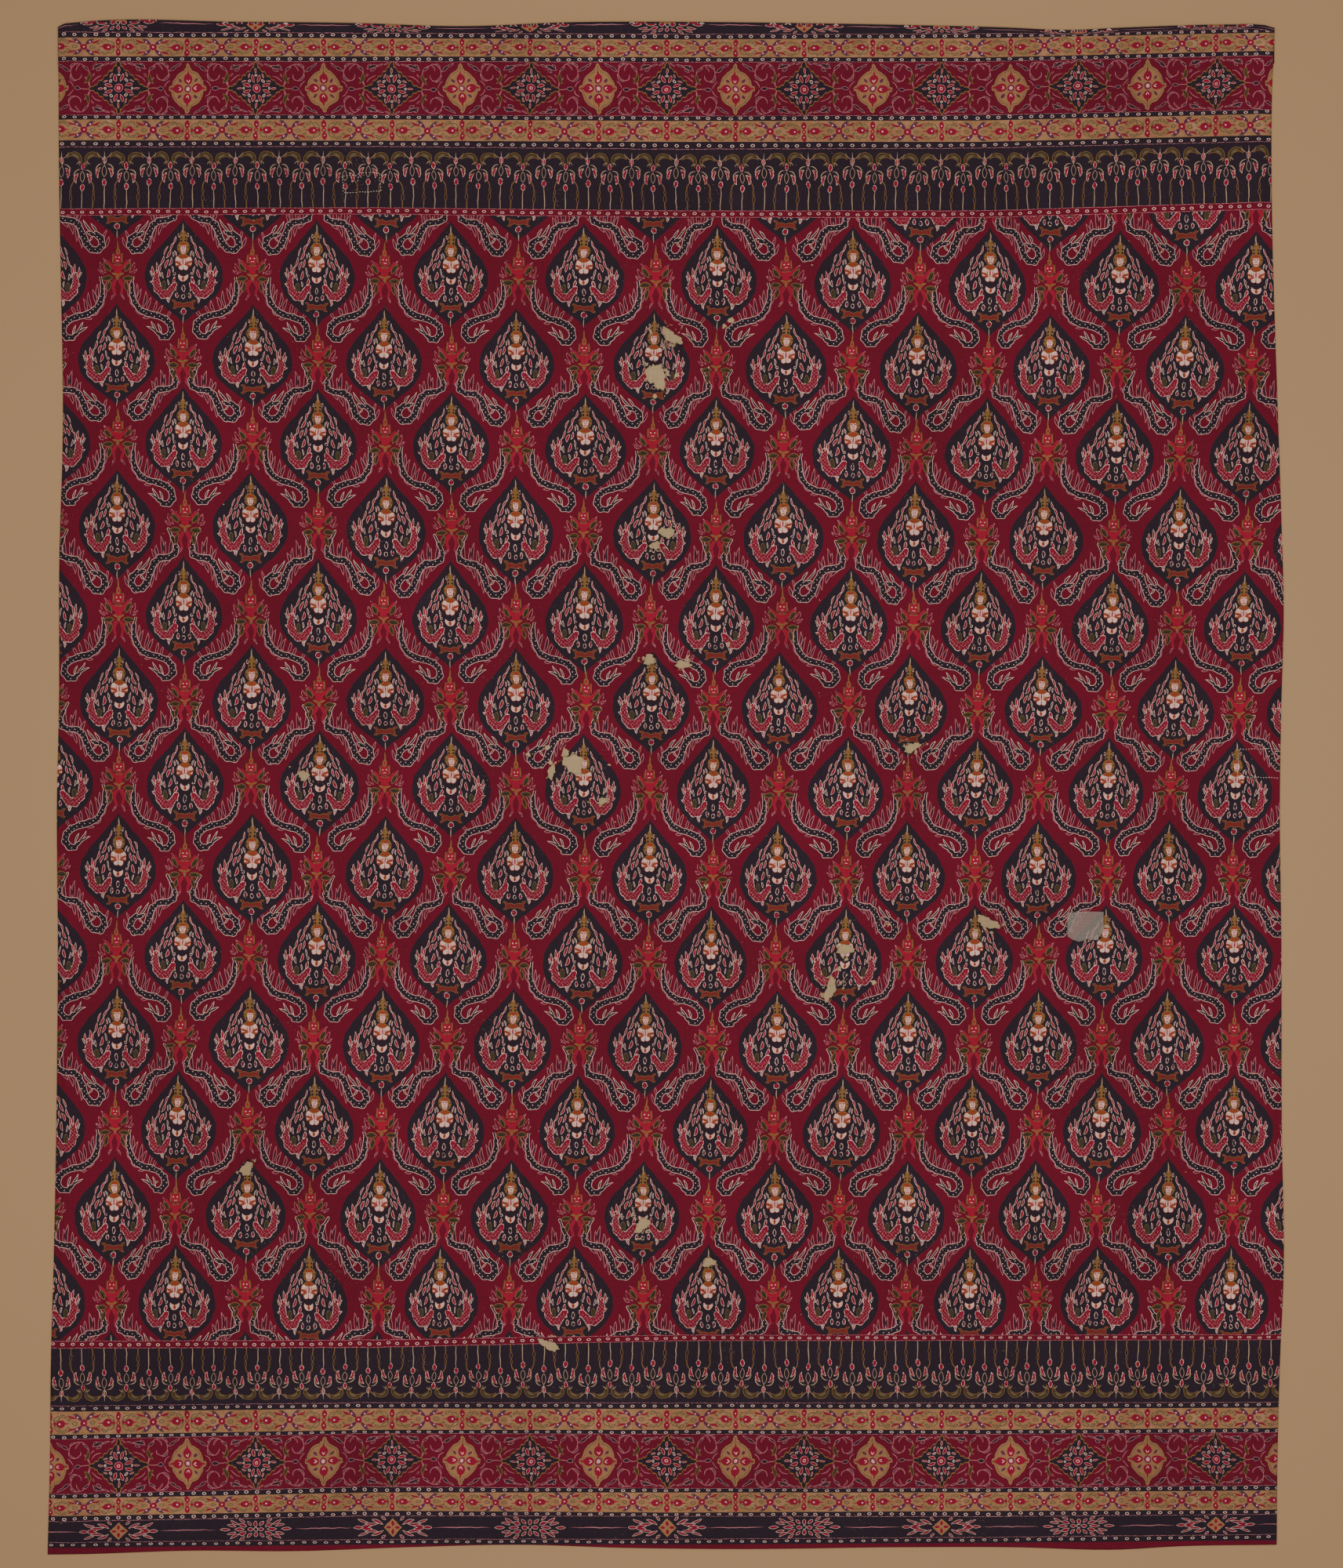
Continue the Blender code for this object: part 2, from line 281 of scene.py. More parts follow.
class Pen:
    """Draws on one pattern. Its shapes are signed distances in millimetres, below zero inside."""

    def __init__(self, tree, place):
        self.tree = tree
        self.place = place

    def disc(self, x, y, radius, outside=False):
        reach = add(self.tree, VECTOR, [self.place, (x, y, 0)], "Value", operation="DISTANCE")
        return add(self.tree, MATH, [radius, reach] if outside else [reach, radius], operation="SUBTRACT")

    def arc_side(self, start, end, rise, outside=False):
        """Inside or outside the circle through both ends that rises this far to the left of the chord."""
        x0, y0, x1, y1 = *start, *end
        half = math.hypot(x1 - x0, y1 - y0) / 2
        rise = math.copysign(max(abs(rise), 0.05), rise)
        radius = (half * half + rise * rise) / (2 * abs(rise))
        shift = (rise - math.copysign(radius, rise)) / (2 * half)
        x, y = (x0 + x1) / 2 - (y1 - y0) * shift, (y0 + y1) / 2 + (x1 - x0) * shift
        return self.disc(x, y, radius, outside)

    def leaf(self, x0, y0, x1, y1, width, bend=0.0):
        """A pointed leaf from one end to the other, its middle bent to the left by bend."""
        if x0 == x1 == bend == 0:
            # On the fold of a mirrored pattern one circle bounds the leaf.
            return self.arc_side((x0, y0), (x1, y1), -math.copysign(width / 2, y1 - y0))
        left, right = bend + width / 2, bend - width / 2
        left = min(left, -0.05) if left <= 0 else left
        left_side = self.arc_side((x0, y0), (x1, y1), left, left < 0)
        right_side = self.arc_side((x0, y0), (x1, y1), right, right >= 0)
        return self.meet(left_side, right_side)

    def band(self, x0, y0, x1, y1, radius):
        """A straight band with round ends."""
        run = Vector((x1 - x0, y1 - y0, 0))
        from_start = add(self.tree, VECTOR, [self.place, (x0, y0, 0)], operation="SUBTRACT")
        share = run / run.length_squared
        along = add(self.tree, VECTOR, [from_start, share], "Value", operation="DOT_PRODUCT")
        held = add(self.tree, MATH, [along, 1.0], operation="MULTIPLY", use_clamp=True)
        nearest = add(self.tree, VECTOR, {0: run, "Scale": held}, operation="SCALE")
        reach = add(self.tree, VECTOR, [from_start, nearest], "Value", operation="DISTANCE")
        return add(self.tree, MATH, [reach, radius], operation="SUBTRACT")

    def path(self, points, soft=1.6):
        """A band through points of x, y and half width, its bends rounded over about this reach."""
        path = None
        for (x0, y0, r0), (x1, y1, r1) in zip(points, points[1:]):
            piece = self.band(x0, y0, x1, y1, (r0 + r1) / 2)
            if path is not None:
                piece = add(self.tree, MATH, [path, piece, soft], operation="SMOOTH_MIN")
            path = piece
        return path

    def oval(self, x, y, half_width, half_height):
        """An upright oval; its distances are true in height only."""
        offset = add(self.tree, VECTOR, [self.place, (x, y, 0)], operation="SUBTRACT")
        squashed = add(self.tree, VECTOR, [offset, (half_height / half_width, 1, 0)], operation="MULTIPLY")
        reach = add(self.tree, VECTOR, [squashed], "Value", operation="LENGTH")
        return add(self.tree, MATH, [reach, half_height], operation="SUBTRACT")

    def join(self, *shapes):
        joined = shapes[0]
        for shape in shapes[1:]:
            joined = add(self.tree, MATH, [joined, shape], operation="MINIMUM")
        return joined

    def meet(self, *shapes):
        met = shapes[0]
        for shape in shapes[1:]:
            met = add(self.tree, MATH, [met, shape], operation="MAXIMUM")
        return met

    def cut(self, shape, away):
        outside = add(self.tree, MATH, [away, -1.0], operation="MULTIPLY")
        return add(self.tree, MATH, [shape, outside], operation="MAXIMUM")

    def leaves(self, rows):
        return self.join(*[self.leaf(*row) for row in rows])

    def discs(self, rows):
        """Discs of x, y and radius, those of one radius taken together."""
        groups = []
        for radius in sorted({row[2] for row in rows}):
            middles = [(x, y, 0) for x, y, size in rows if size == radius]
            reaches = [
                add(self.tree, VECTOR, [self.place, middle], "Value", operation="DISTANCE")
                for middle in middles
            ]
            groups.append(add(self.tree, MATH, [self.join(*reaches), radius], operation="SUBTRACT"))
        return self.join(*groups)


class Dye:
    """The colour of a pattern as it is built up, layer over layer."""

    def __init__(self, tree, ground, line):
        self.tree = tree
        self.colour = ground
        self.line = line

    def paint(self, mask, ink):
        inputs = {0: mask, 6: self.colour, 7: ink_colour(ink)}
        self.colour = add(self.tree, "ShaderNodeMix", inputs, 2, data_type="RGBA")

    def fill(self, shape, ink):
        self.paint(add(self.tree, MATH, [shape, 0.0], operation="LESS_THAN"), ink)

    def trace(self, shape, ink, width=None):
        """A drawn line along the shape's edge, as wide each way as the hand's line or as given."""
        width = self.line if width is None else width
        self.paint(add(self.tree, MATH, [shape, 0.0, width], operation="COMPARE"), ink)


# A medallion's outline, in millimetres: height above its widest level, half width there.
MEDALLION = [
    (-41.4, 0), (-38.4, 2.6), (-31.0, 11.8), (-22.6, 22.6), (-14.5, 30.0), (-7, 33.4), (0, 34.3), (7, 33.2),
    (14.5, 29.4), (24.5, 20.8), (35, 11.2), (43, 4.2), (49.0, 0),
]
MEDALLION_SPAN = (-45, 50)
MEDALLION_REACH = 40

# Flames round a medallion's figure, in millimetres: foot x, foot y, tip x, tip y, width, bend.
MEDALLION_FLAMES = [
    (25.8, 0, 27.8, 7.8, 1.8, -0.5), (23.6, 2, 23.8, 10.8, 1.8, 0.5), (21.4, 2, 20.2, 9.4, 1.6, -0.4),
    (14.8, -1.8, 12.6, 5.2, 2.3, 0.8), (16.0, 6.0, 13.2, 13.0, 2.1, -0.7), (12.6, 8.4, 10.6, 15.0, 1.6, 0.6),
    (15.0, 14.6, 11.4, 21.6, 2.0, 0.7), (11.4, 21.0, 8.6, 27.4, 1.6, -0.6), (8.8, 26.4, 6.4, 33.2, 1.2, 0.5),
    (19.8, 9.0, 17.2, 16.4, 1.6, 0.6), (16.8, 17.4, 14.0, 24.4, 1.2, -0.5),
]

# A beast's body, in millimetres: x, y and half width along it.
BEAST = [
    (23.8, 2.0, 1.8), (24.6, -4.0, 2.7), (22.8, -11.6, 3.2), (18.4, -16.0, 3.4), (13.4, -15.8, 3.2),
    (10.2, -11.6, 2.4),
]

# The serpents over and under a row's level, in millimetres: the body's x, y and half width along it,
# and leaves for the flames and for the head, as for the medallion.
SERPENTS = {
    "over": {
        "path": [
            (13.4, -2, 0.3), (9.4, -9.5, 1.5), (6.4, -17.0, 1.9), (7.6, -22.6, 2.2), (13.0, -24.9, 2.4),
            (20.6, -25.8, 2.5), (25.6, -29.4, 2.6), (29.0, -37.5, 2.6), (31.8, -45.6, 2.6),
            (36.2, -50.6, 2.6), (42.0, -51.2, 2.6), (45.4, -46.8, 2.6), (44.6, -41.0, 2.4),
            (40.2, -37.2, 2.2),
        ],
        "flames": [
            (12.6, -24.0, 11.0, -10.0, 2.5, 0.9), (15.6, -24.2, 15.8, -12.5, 2.1, -0.8),
            (18.6, -24.6, 19.6, -8.5, 2.5, 0.8), (22.0, -25.2, 23.2, -15.0, 2.1, -0.7),
            (25.2, -27.6, 27.4, -18.5, 2.1, 0.7), (8.6, -17.5, 11.4, -6.0, 1.5, -0.4),
            (10.4, -26.2, 16.5, -31.5, 2.1, 0.6), (16.4, -27.4, 20.4, -37.5, 2.2, 0.9),
            (22.2, -31.0, 24.2, -43.5, 2.2, 0.9), (26.0, -39.0, 28.2, -49.5, 2.1, 0.6),
            (47.2, -49.5, 51.2, -40.0, 2.1, -0.6), (46.6, -42.5, 49.0, -34.0, 1.6, 0.4),
        ],
        "head": [
            (41.0, -38.2, 32.6, -35.0, 3.4, 0.6), (38.5, -36.6, 29.6, -25.5, 1.8, 0.9),
            (40.4, -36.4, 36.0, -28.5, 1.6, -0.6), (37.6, -38.6, 34.6, -43.0, 1.3, 0.3),
        ],
    },
    "under": {
        "path": [
            (14.6, 1, 0.3), (13.2, -7, 1.4), (13.2, -15, 1.9), (15.4, -22.5, 2.2), (20.0, -28.8, 2.4),
            (26.5, -32.2, 2.5), (34.5, -34.0, 2.6), (41.5, -36.8, 2.6), (46.2, -41.4, 2.6),
            (47.2, -47.6, 2.6), (43.6, -52.2, 2.5), (38.6, -52.4, 2.1),
        ],
        "flames": [
            (16.4, -19.0, 17.4, -6.5, 2.1, -0.7), (18.6, -23.5, 21.4, -11.0, 2.2, 0.8),
            (22.4, -27.6, 25.2, -13.5, 2.4, -0.8), (26.6, -30.0, 29.8, -18.5, 2.2, 0.8),
            (31.4, -31.6, 34.2, -21.5, 2.1, -0.7), (36.4, -33.0, 39.6, -25.5, 2.0, 0.6),
            (11.6, -11.5, 8.0, -1.5, 2.1, 0.7), (12.6, -19.5, 9.6, -9.0, 1.9, 0.7),
            (16.4, -27.5, 11.6, -19.5, 1.9, 0.6), (42.6, -35.5, 46.6, -29.0, 1.8, -0.4),
            (22.0, -33.0, 16.2, -28.5, 1.9, 0.6), (28.6, -35.2, 22.4, -35.6, 1.8, 0.4),
        ],
        "head": [
            (39.8, -52.6, 32.8, -48.4, 3.4, -0.6), (36.6, -50.4, 26.0, -43.5, 1.8, -0.8),
            (36.0, -48.8, 29.6, -39.0, 1.6, 0.6), (38.6, -49.4, 35.6, -41.5, 1.4, -0.4),
        ],
    },
}


def wandering(tree, place, reach, size):
    """The place, moved by up to half of reach, so that drawn lines waver over about this size."""
    inputs = {"Vector": place, "Scale": 1 / size, "Detail": 1.0}
    noise = add(tree, "ShaderNodeTexNoise", inputs, "Color", noise_dimensions="2D")
    centred = add(tree, VECTOR, [noise, (0.5, 0.5, 0.5)], operation="SUBTRACT")
    moved = add(tree, VECTOR, [centred, (reach, reach, 0), place], operation="MULTIPLY_ADD")
    return moved


def hand_line(tree, place, width=0.2):
    """Half the width of a hand-drawn line, which swells and breaks along its way."""
    inputs = {"Vector": place, "Scale": 0.55, "Detail": 0.0}
    noise = add(tree, "ShaderNodeTexNoise", inputs, noise_dimensions="2D")
    return add(tree, MATH, [noise, width * 2.4, -width * 0.35], operation="MULTIPLY_ADD")


def lattice_place(tree, place, shift):
    """The place from the nearest point of the staggered lattice, and that point's own number."""
    steps = add(tree, VECTOR, [place, (1 / HALF_COLUMN, 1 / ROW, 0), (shift, 0, 0)], operation="MULTIPLY_ADD")
    rising = add(tree, VECTOR, [steps, (0.5, 0.5, 0)], "Value", operation="DOT_PRODUCT")
    falling = add(tree, VECTOR, [steps, (0.5, -0.5, 0)], "Value", operation="DOT_PRODUCT")
    rising = add(tree, MATH, [rising], operation="ROUND")
    falling = add(tree, MATH, [falling], operation="ROUND")
    column = add(tree, MATH, [rising, falling], operation="ADD")
    row = add(tree, MATH, [rising, falling], operation="SUBTRACT")
    number = add(tree, "ShaderNodeCombineXYZ", [column, row, 0.0])
    middle = add(tree, VECTOR, [number, (shift, 0, 0)], operation="SUBTRACT")
    away = add(tree, VECTOR, [middle, (-HALF_COLUMN, -ROW, 0), place], operation="MULTIPLY_ADD")
    return away, number


def unsteady(tree, place, number, seed, reach, stretch=0.0):
    """Moves and stretches each repeat of a motif a little, as a hand sets it."""
    key = add(tree, VECTOR, [number, (seed, seed, 0)], operation="ADD")
    chance = add(tree, "ShaderNodeTexWhiteNoise", {"Vector": key}, "Color", noise_dimensions="2D")
    centred = add(tree, VECTOR, [chance, (0.5, 0.5, 0.5)], operation="SUBTRACT")
    moved = add(tree, VECTOR, [centred, (reach, reach, 0), place], operation="MULTIPLY_ADD")
    if not stretch:
        return moved
    scale = add(tree, VECTOR, [chance, (stretch, -stretch, 0), (1, 1, 0)], operation="MULTIPLY_ADD")
    return add(tree, VECTOR, [moved, scale], operation="MULTIPLY")


def folded(tree, place):
    """The place with only its x made positive."""
    size = add(tree, VECTOR, [place], operation="ABSOLUTE")
    x = add(tree, "ShaderNodeSeparateXYZ", [size], "X")
    y = add(tree, "ShaderNodeSeparateXYZ", [place], "Y")
    return add(tree, "ShaderNodeCombineXYZ", [x, y, 0.0]), x, y


def draw_medallion(dye, place):
    """The dark ogee medallion with its praying figure, beasts and flames."""
    tree = dye.tree
    sides, x, y = folded(tree, place)
    low, high = MEDALLION_SPAN
    share = [y, 1 / (high - low), -low / (high - low)]
    level = add(tree, MATH, share, operation="MULTIPLY_ADD", use_clamp=True)
    points = [((h - low) / (high - low), w / MEDALLION_REACH) for h, w in [(low, 0), *MEDALLION, (high, 0)]]
    half = add(tree, "ShaderNodeFloatCurve", {"Value": level}, points=points)
    inside = add(tree, MATH, [half, -MEDALLION_REACH, x], operation="MULTIPLY_ADD")
    dye.fill(inside, "dark")
    pen = Pen(tree, sides)

    flames = pen.leaves(MEDALLION_FLAMES)
    beast = pen.path(BEAST)
    head = pen.join(
        pen.leaf(11.6, -10.6, 5.8, -6.4, 4.6, 0.6), pen.leaf(9.4, -8.6, 6.2, -13.0, 1.8, -0.5),
        pen.leaf(9.6, -6.6, 7.6, -1.2, 2.2, 0.6), pen.leaf(26.4, -8.2, 29.4, -5.6, 1.6, 0.6),
        pen.leaf(15.0, -19.0, 13.0, -23.6, 1.6, -0.4),
    )
    dye.fill(pen.join(flames, head), "red")
    dye.fill(beast, "scale")
    waves = add(tree, VECTOR, [wandering(tree, sides, 2.6, 4.5), (1.3, 1.5, 0)], operation="MULTIPLY")
    turned = add(tree, "ShaderNodeVectorRotate", {"Vector": waves, "Angle": 0.8}, rotation_type="Z_AXIS")
    ripples = add(tree, VECTOR, [turned], operation="SINE")
    across = add(tree, "ShaderNodeSeparateXYZ", [ripples], "X")
    along = add(tree, "ShaderNodeSeparateXYZ", [ripples], "Y")
    lattice = add(tree, MATH, [across, along], operation="MULTIPLY")
    scales = add(tree, MATH, [lattice, 0.0, 0.075], operation="COMPARE")
    body = add(tree, MATH, [beast, -0.3], operation="LESS_THAN")
    dye.paint(add(tree, MATH, [scales, body], operation="MULTIPLY"), "pink")
    dye.trace(flames, "white", 0.13)
    dye.trace(pen.join(beast, head), "white")
    curl = pen.oval(17.6, -8.6, 1.9, 3.8)
    dye.fill(curl, "olive")
    dye.trace(curl, "pen", 0.3)

    halo = pen.join(pen.disc(0, 23.6, 5.6), pen.leaf(0, 39.4, 0, 23.0, 6.4))
    dye.fill(halo, "gold")
    curls = add(tree, MATH, [lattice, 0.3], operation="GREATER_THAN")
    crown = add(tree, MATH, [halo, -0.5], operation="LESS_THAN")
    dye.paint(add(tree, MATH, [curls, crown], operation="MULTIPLY"), "dark")
    dye.fill(pen.leaf(0, 44.6, 0, 36.0, 1.0), "stem")
    torso = pen.join(
        pen.band(0, 14.4, 5.0, 14.0, 1.9), pen.band(5.6, 13.0, 5.4, 9.6, 1.7), pen.disc(0, 11.2, 3.8),
        pen.disc(2.0, 6.8, 2.3), pen.oval(0, 22.8, 2.8, 4.4),
    )
    dye.fill(torso, "pale")
    dye.fill(pen.join(pen.disc(1.8, 6.6, 1.8), pen.leaf(6.2, 15.6, 2.6, 13.4, 2.0)), "white")
    cuffs = pen.join(pen.leaf(8.0, 12.4, 1.6, 10.0, 2.0, 0.3), pen.leaf(7.2, 8.6, 0.8, 9.6, 1.6, 0.4))
    dye.fill(cuffs, "brown")
    lines = pen.join(
        pen.leaf(0, 8.4, 0, 14.6, 1.2), pen.leaf(2.6, 8.6, 2.2, 13.8, 0.7), pen.leaf(0, 4.6, 0, 8.4, 0.7),
        pen.leaf(0.4, 23.8, 2.3, 24.4, 0.9, 0.3), pen.leaf(0, 19.8, 1.4, 20.2, 0.9),
        pen.leaf(0.5, 23.4, 0.5, 21.0, 0.4),
    )
    dye.fill(lines, "rose")
    dye.trace(torso, "brown", 0.18)
    brow = pen.meet(pen.disc(0, 22.8, 5.2), pen.disc(0, 30.4, 5.2))
    dye.fill(brow, "brown")
    collar = pen.meet(pen.disc(0, 20.8, 6.6), pen.disc(0, 11.4, 6.8))
    dye.fill(collar, "brown")
    dye.trace(collar, "gold", 0.3)
    wisps = pen.leaves([
        (6.4, 16.4, 8.0, 20.6, 1.0, 0.5), (9.0, 2.4, 10.0, 8.0, 1.2, 0.4),
        (27.8, -0.6, 29.6, 4.0, 1.0, 0.3), (11.8, -19.6, 14.0, -22.6, 1.3, 0.4),
        (13.2, -8.2, 14.0, -3.6, 1.1, 0.3), (17.8, -2.6, 18.8, 2.6, 1.3, -0.5),
        (9.0, 15.8, 9.4, 19.6, 0.9, 0.4), (20.6, -0.8, 21.2, 2.6, 0.8, 0.3),
    ])
    dye.trace(wisps, "white", 0.16)

    rings = pen.join(
        pen.leaf(0, -8.4, 0, -14.2, 2.6), pen.oval(0, -18.2, 1.4, 1.7), pen.leaf(5.4, -14.6, 5.6, -19.4, 2.4),
        pen.disc(7.6, 1.2, 1.0), pen.disc(0, -30.8, 2.3), pen.oval(3.8, 34.2, 0.6, 1.4),
    )
    dye.trace(rings, "white")
    dye.fill(pen.join(pen.disc(0, -30.8, 1.7), pen.leaf(5.4, -15.6, 5.6, -18.6, 1.0)), "red")
    bud = pen.meet(pen.disc(0, -0.4, 5.2), pen.leaf(-4.4, -1.0, 4.4, -1.0, 9.6))
    bud = pen.cut(bud, pen.disc(0, 3.6, 4.6))
    dye.fill(bud, "pale")
    dye.fill(pen.leaf(0, -4.8, 0, -0.8, 2.4), "brown")
    scroll = pen.join(
        pen.band(0, -25.6, 3.6, -24.6, 1.7), pen.band(3.6, -24.6, 6.4, -25.2, 1.9),
        pen.leaf(6.0, -24.0, 10.4, -21.4, 1.8, 0.4), pen.leaf(6.0, -26.4, 9.8, -28.2, 1.6, -0.4),
    )
    dye.fill(scroll, "rust")
    dye.trace(pen.join(scroll, pen.leaf(0, -25.6, 6.6, -24.8, 0.3, -0.4)), "gold", 0.18)
    dye.fill(pen.leaf(0, -33.4, 0, -41.6, 0.8), "stem")


def draw_winged_figure(dye, place):
    """The bright red winged figure with raised arms, an ochre crown and dark feathers."""
    tree = dye.tree
    sides, _, _ = folded(tree, place)
    pen = Pen(tree, sides)
    flames = pen.leaves([
        (10.0, 2.6, 15.0, 10.6, 2.8, -0.8), (12.4, 1.6, 17.0, 5.0, 1.5, -0.4),
        (9.4, 9.6, 12.2, 14.4, 1.2, 0.3), (2.2, -15.5, 5.6, -20.0, 1.2, 0.5),
    ])
    dye.trace(flames, "pink")
    feathers = pen.join(
        pen.leaf(6.4, 3.6, 11.6, 11.0, 3.8, 0.3), pen.leaf(4.2, -2.2, 13.8, -2.8, 4.2, 0.3),
        pen.leaf(6.2, -4.8, 8.6, -13.6, 3.2, 0.3),
    )
    dye.fill(feathers, "olive")
    veins = pen.leaves([
        (6.6, 4.2, 11.0, 9.6, 0.9), (5.6, -2.4, 12.2, -2.7, 0.8), (6.4, -6.6, 8.2, -12.0, 0.8),
    ])
    dye.fill(veins, "dark")
    dye.trace(feathers, "gold", 0.26)
    body = pen.join(
        pen.disc(0, 14.4, 3.9), pen.band(0, 7.2, 4.0, 7.2, 1.9), pen.band(4.6, 7.6, 8.8, 12.0, 1.0),
        pen.oval(0, 2.8, 3.2, 5.6), pen.band(2.4, -4.6, 4.6, -8.6, 1.5), pen.band(4.4, -9.2, 2.9, -15.0, 0.9),
    )
    dye.fill(body, "bright")
    dye.trace(body, "rose", 0.14)
    crown = pen.join(
        pen.leaf(0, 30.0, 0, 18.0, 1.3), pen.leaf(0, 23.6, 0, 17.2, 3.8),
        pen.leaf(4.4, 19.0, 5.0, 10.4, 1.2, -0.5), pen.leaf(0, 8.6, 3.8, 9.8, 0.8, -0.4),
    )
    dye.fill(crown, "gold")
    dye.fill(pen.leaf(0, 22.0, 0, 18.4, 1.6), "bright")
    belt = pen.join(pen.leaf(0, 0.6, 5.4, 2.2, 1.8, -0.5), pen.leaf(0, 1.0, 0, -4.2, 2.4))
    dye.fill(belt, "gold")
    face = pen.join(pen.disc(1.6, 15.0, 0.55), pen.leaf(0, 12.2, 1.4, 12.4, 0.6))
    dye.fill(face, "white")
    dye.trace(pen.disc(0, 14.4, 4.6), "gold", 0.16)


def draw_serpent(dye, place, form):
    """One of each pair of flaming serpents, on the crimson between four medallions."""
    tree = dye.tree
    steps = add(tree, VECTOR, [place, (1 / HALF_COLUMN, 1 / ROW, 0)], operation="MULTIPLY")
    corner = add(tree, VECTOR, [steps], operation="FLOOR")
    within = add(tree, VECTOR, [steps, corner], operation="SUBTRACT")
    number = add(tree, VECTOR, [corner, (1, 1, 0)], "Value", operation="DOT_PRODUCT")
    odd = add(tree, MATH, [number, 2.0], operation="FLOORED_MODULO")
    x = add(tree, "ShaderNodeSeparateXYZ", [within], "X")
    y = add(tree, "ShaderNodeSeparateXYZ", [within], "Y")
    x = add(tree, MATH, [x, odd], operation="SUBTRACT")
    x = add(tree, MATH, [x], operation="ABSOLUTE")
    x = add(tree, MATH, [x, HALF_COLUMN], operation="MULTIPLY")
    y = add(tree, MATH, [y, ROW, -ROW], operation="MULTIPLY_ADD")
    cell = add(tree, "ShaderNodeCombineXYZ", [x, y, 0.0])
    cell = unsteady(tree, cell, corner, 7.3, 2.0)
    pen = Pen(tree, cell)
    shape = SERPENTS[form]
    flames = pen.leaves(shape["flames"])
    dye.fill(add(tree, MATH, [flames, 0.62], operation="ADD"), "dark")
    dye.trace(flames, "pink", 0.21)
    body = pen.join(pen.path(shape["path"]), pen.leaves(shape["head"]))
    dye.fill(body, "dark")
    dots = add(tree, VECTOR, [cell, (1.4, 1.4, 0)], operation="MULTIPLY")
    dots = add(tree, VECTOR, [dots], operation="SINE")
    across = add(tree, "ShaderNodeSeparateXYZ", [dots], "X")
    along = add(tree, "ShaderNodeSeparateXYZ", [dots], "Y")
    dots = add(tree, MATH, [across, along], operation="MULTIPLY")
    dots = add(tree, MATH, [dots, 0.84], operation="GREATER_THAN")
    inside = add(tree, MATH, [body, -0.8], operation="LESS_THAN")
    dye.paint(add(tree, MATH, [dots, inside], operation="MULTIPLY"), "white")
    dye.trace(body, "white", 0.18)


def field_dye(tree, place, form):
    """The field: medallions, winged figures and serpents on crimson."""
    place = wandering(tree, place, 1.6, 9.0)
    dye = Dye(tree, ink_colour("crimson"), hand_line(tree, place))
    draw_serpent(dye, place, form)
    away, number = lattice_place(tree, place, 1.0)
    draw_winged_figure(dye, unsteady(tree, away, number, 3.1, 2.4, 0.1))
    away, number = lattice_place(tree, place, 0.0)
    draw_medallion(dye, unsteady(tree, away, number, 5.7, 2.4, 0.07))
    return dye.colour


def repeat(tree, place, start, pitch, number=False):
    """The place within one repeat along x, from half a pitch before its middle to half after."""
    x = add(tree, "ShaderNodeSeparateXYZ", [place], "X")
    y = add(tree, "ShaderNodeSeparateXYZ", [place], "Y")
    step = add(tree, MATH, [x, 1 / pitch, -start / pitch], operation="MULTIPLY_ADD")
    count = add(tree, MATH, [step], operation="ROUND")
    within = add(tree, MATH, [step, count], operation="SUBTRACT")
    within = add(tree, MATH, [within, pitch], operation="MULTIPLY")
    local = add(tree, "ShaderNodeCombineXYZ", [within, y, 0.0])
    if not number:
        return local
    return local, add(tree, "ShaderNodeCombineXYZ", [count, 0.0, 0.0])


def octant(tree, place, x, y):
    """The place folded into one eighth about a middle."""
    offset = add(tree, VECTOR, [place, (x, y, 0)], operation="SUBTRACT")
    size = add(tree, VECTOR, [offset], operation="ABSOLUTE")
    wide = add(tree, "ShaderNodeSeparateXYZ", [size], "X")
    tall = add(tree, "ShaderNodeSeparateXYZ", [size], "Y")
    far = add(tree, MATH, [wide, tall], operation="MAXIMUM")
    near = add(tree, MATH, [wide, tall], operation="MINIMUM")
    return add(tree, "ShaderNodeCombineXYZ", [far, near, 0.0]), size


def dots_dye(tree, place, ground, height, pitch, lines):
    """A row of small drawn rings, with a fine line along it at each of the given heights."""
    place = wandering(tree, place, 0.9, 14.0)
    ring, number = repeat(tree, place, 0.0, pitch, number=True)
    dye = Dye(tree, ink_colour(ground), hand_line(tree, place, 0.16))
    pen = Pen(tree, unsteady(tree, ring, number, 1.7, 1.1))
    dye.trace(pen.oval(0, height / 2, 1.4, 0.9), "white", 0.2)
    y = add(tree, "ShaderNodeSeparateXYZ", [place], "Y")
    for level in lines:
        dye.trace(add(tree, MATH, [y, level], operation="SUBTRACT"), "pink")
    return dye.colour


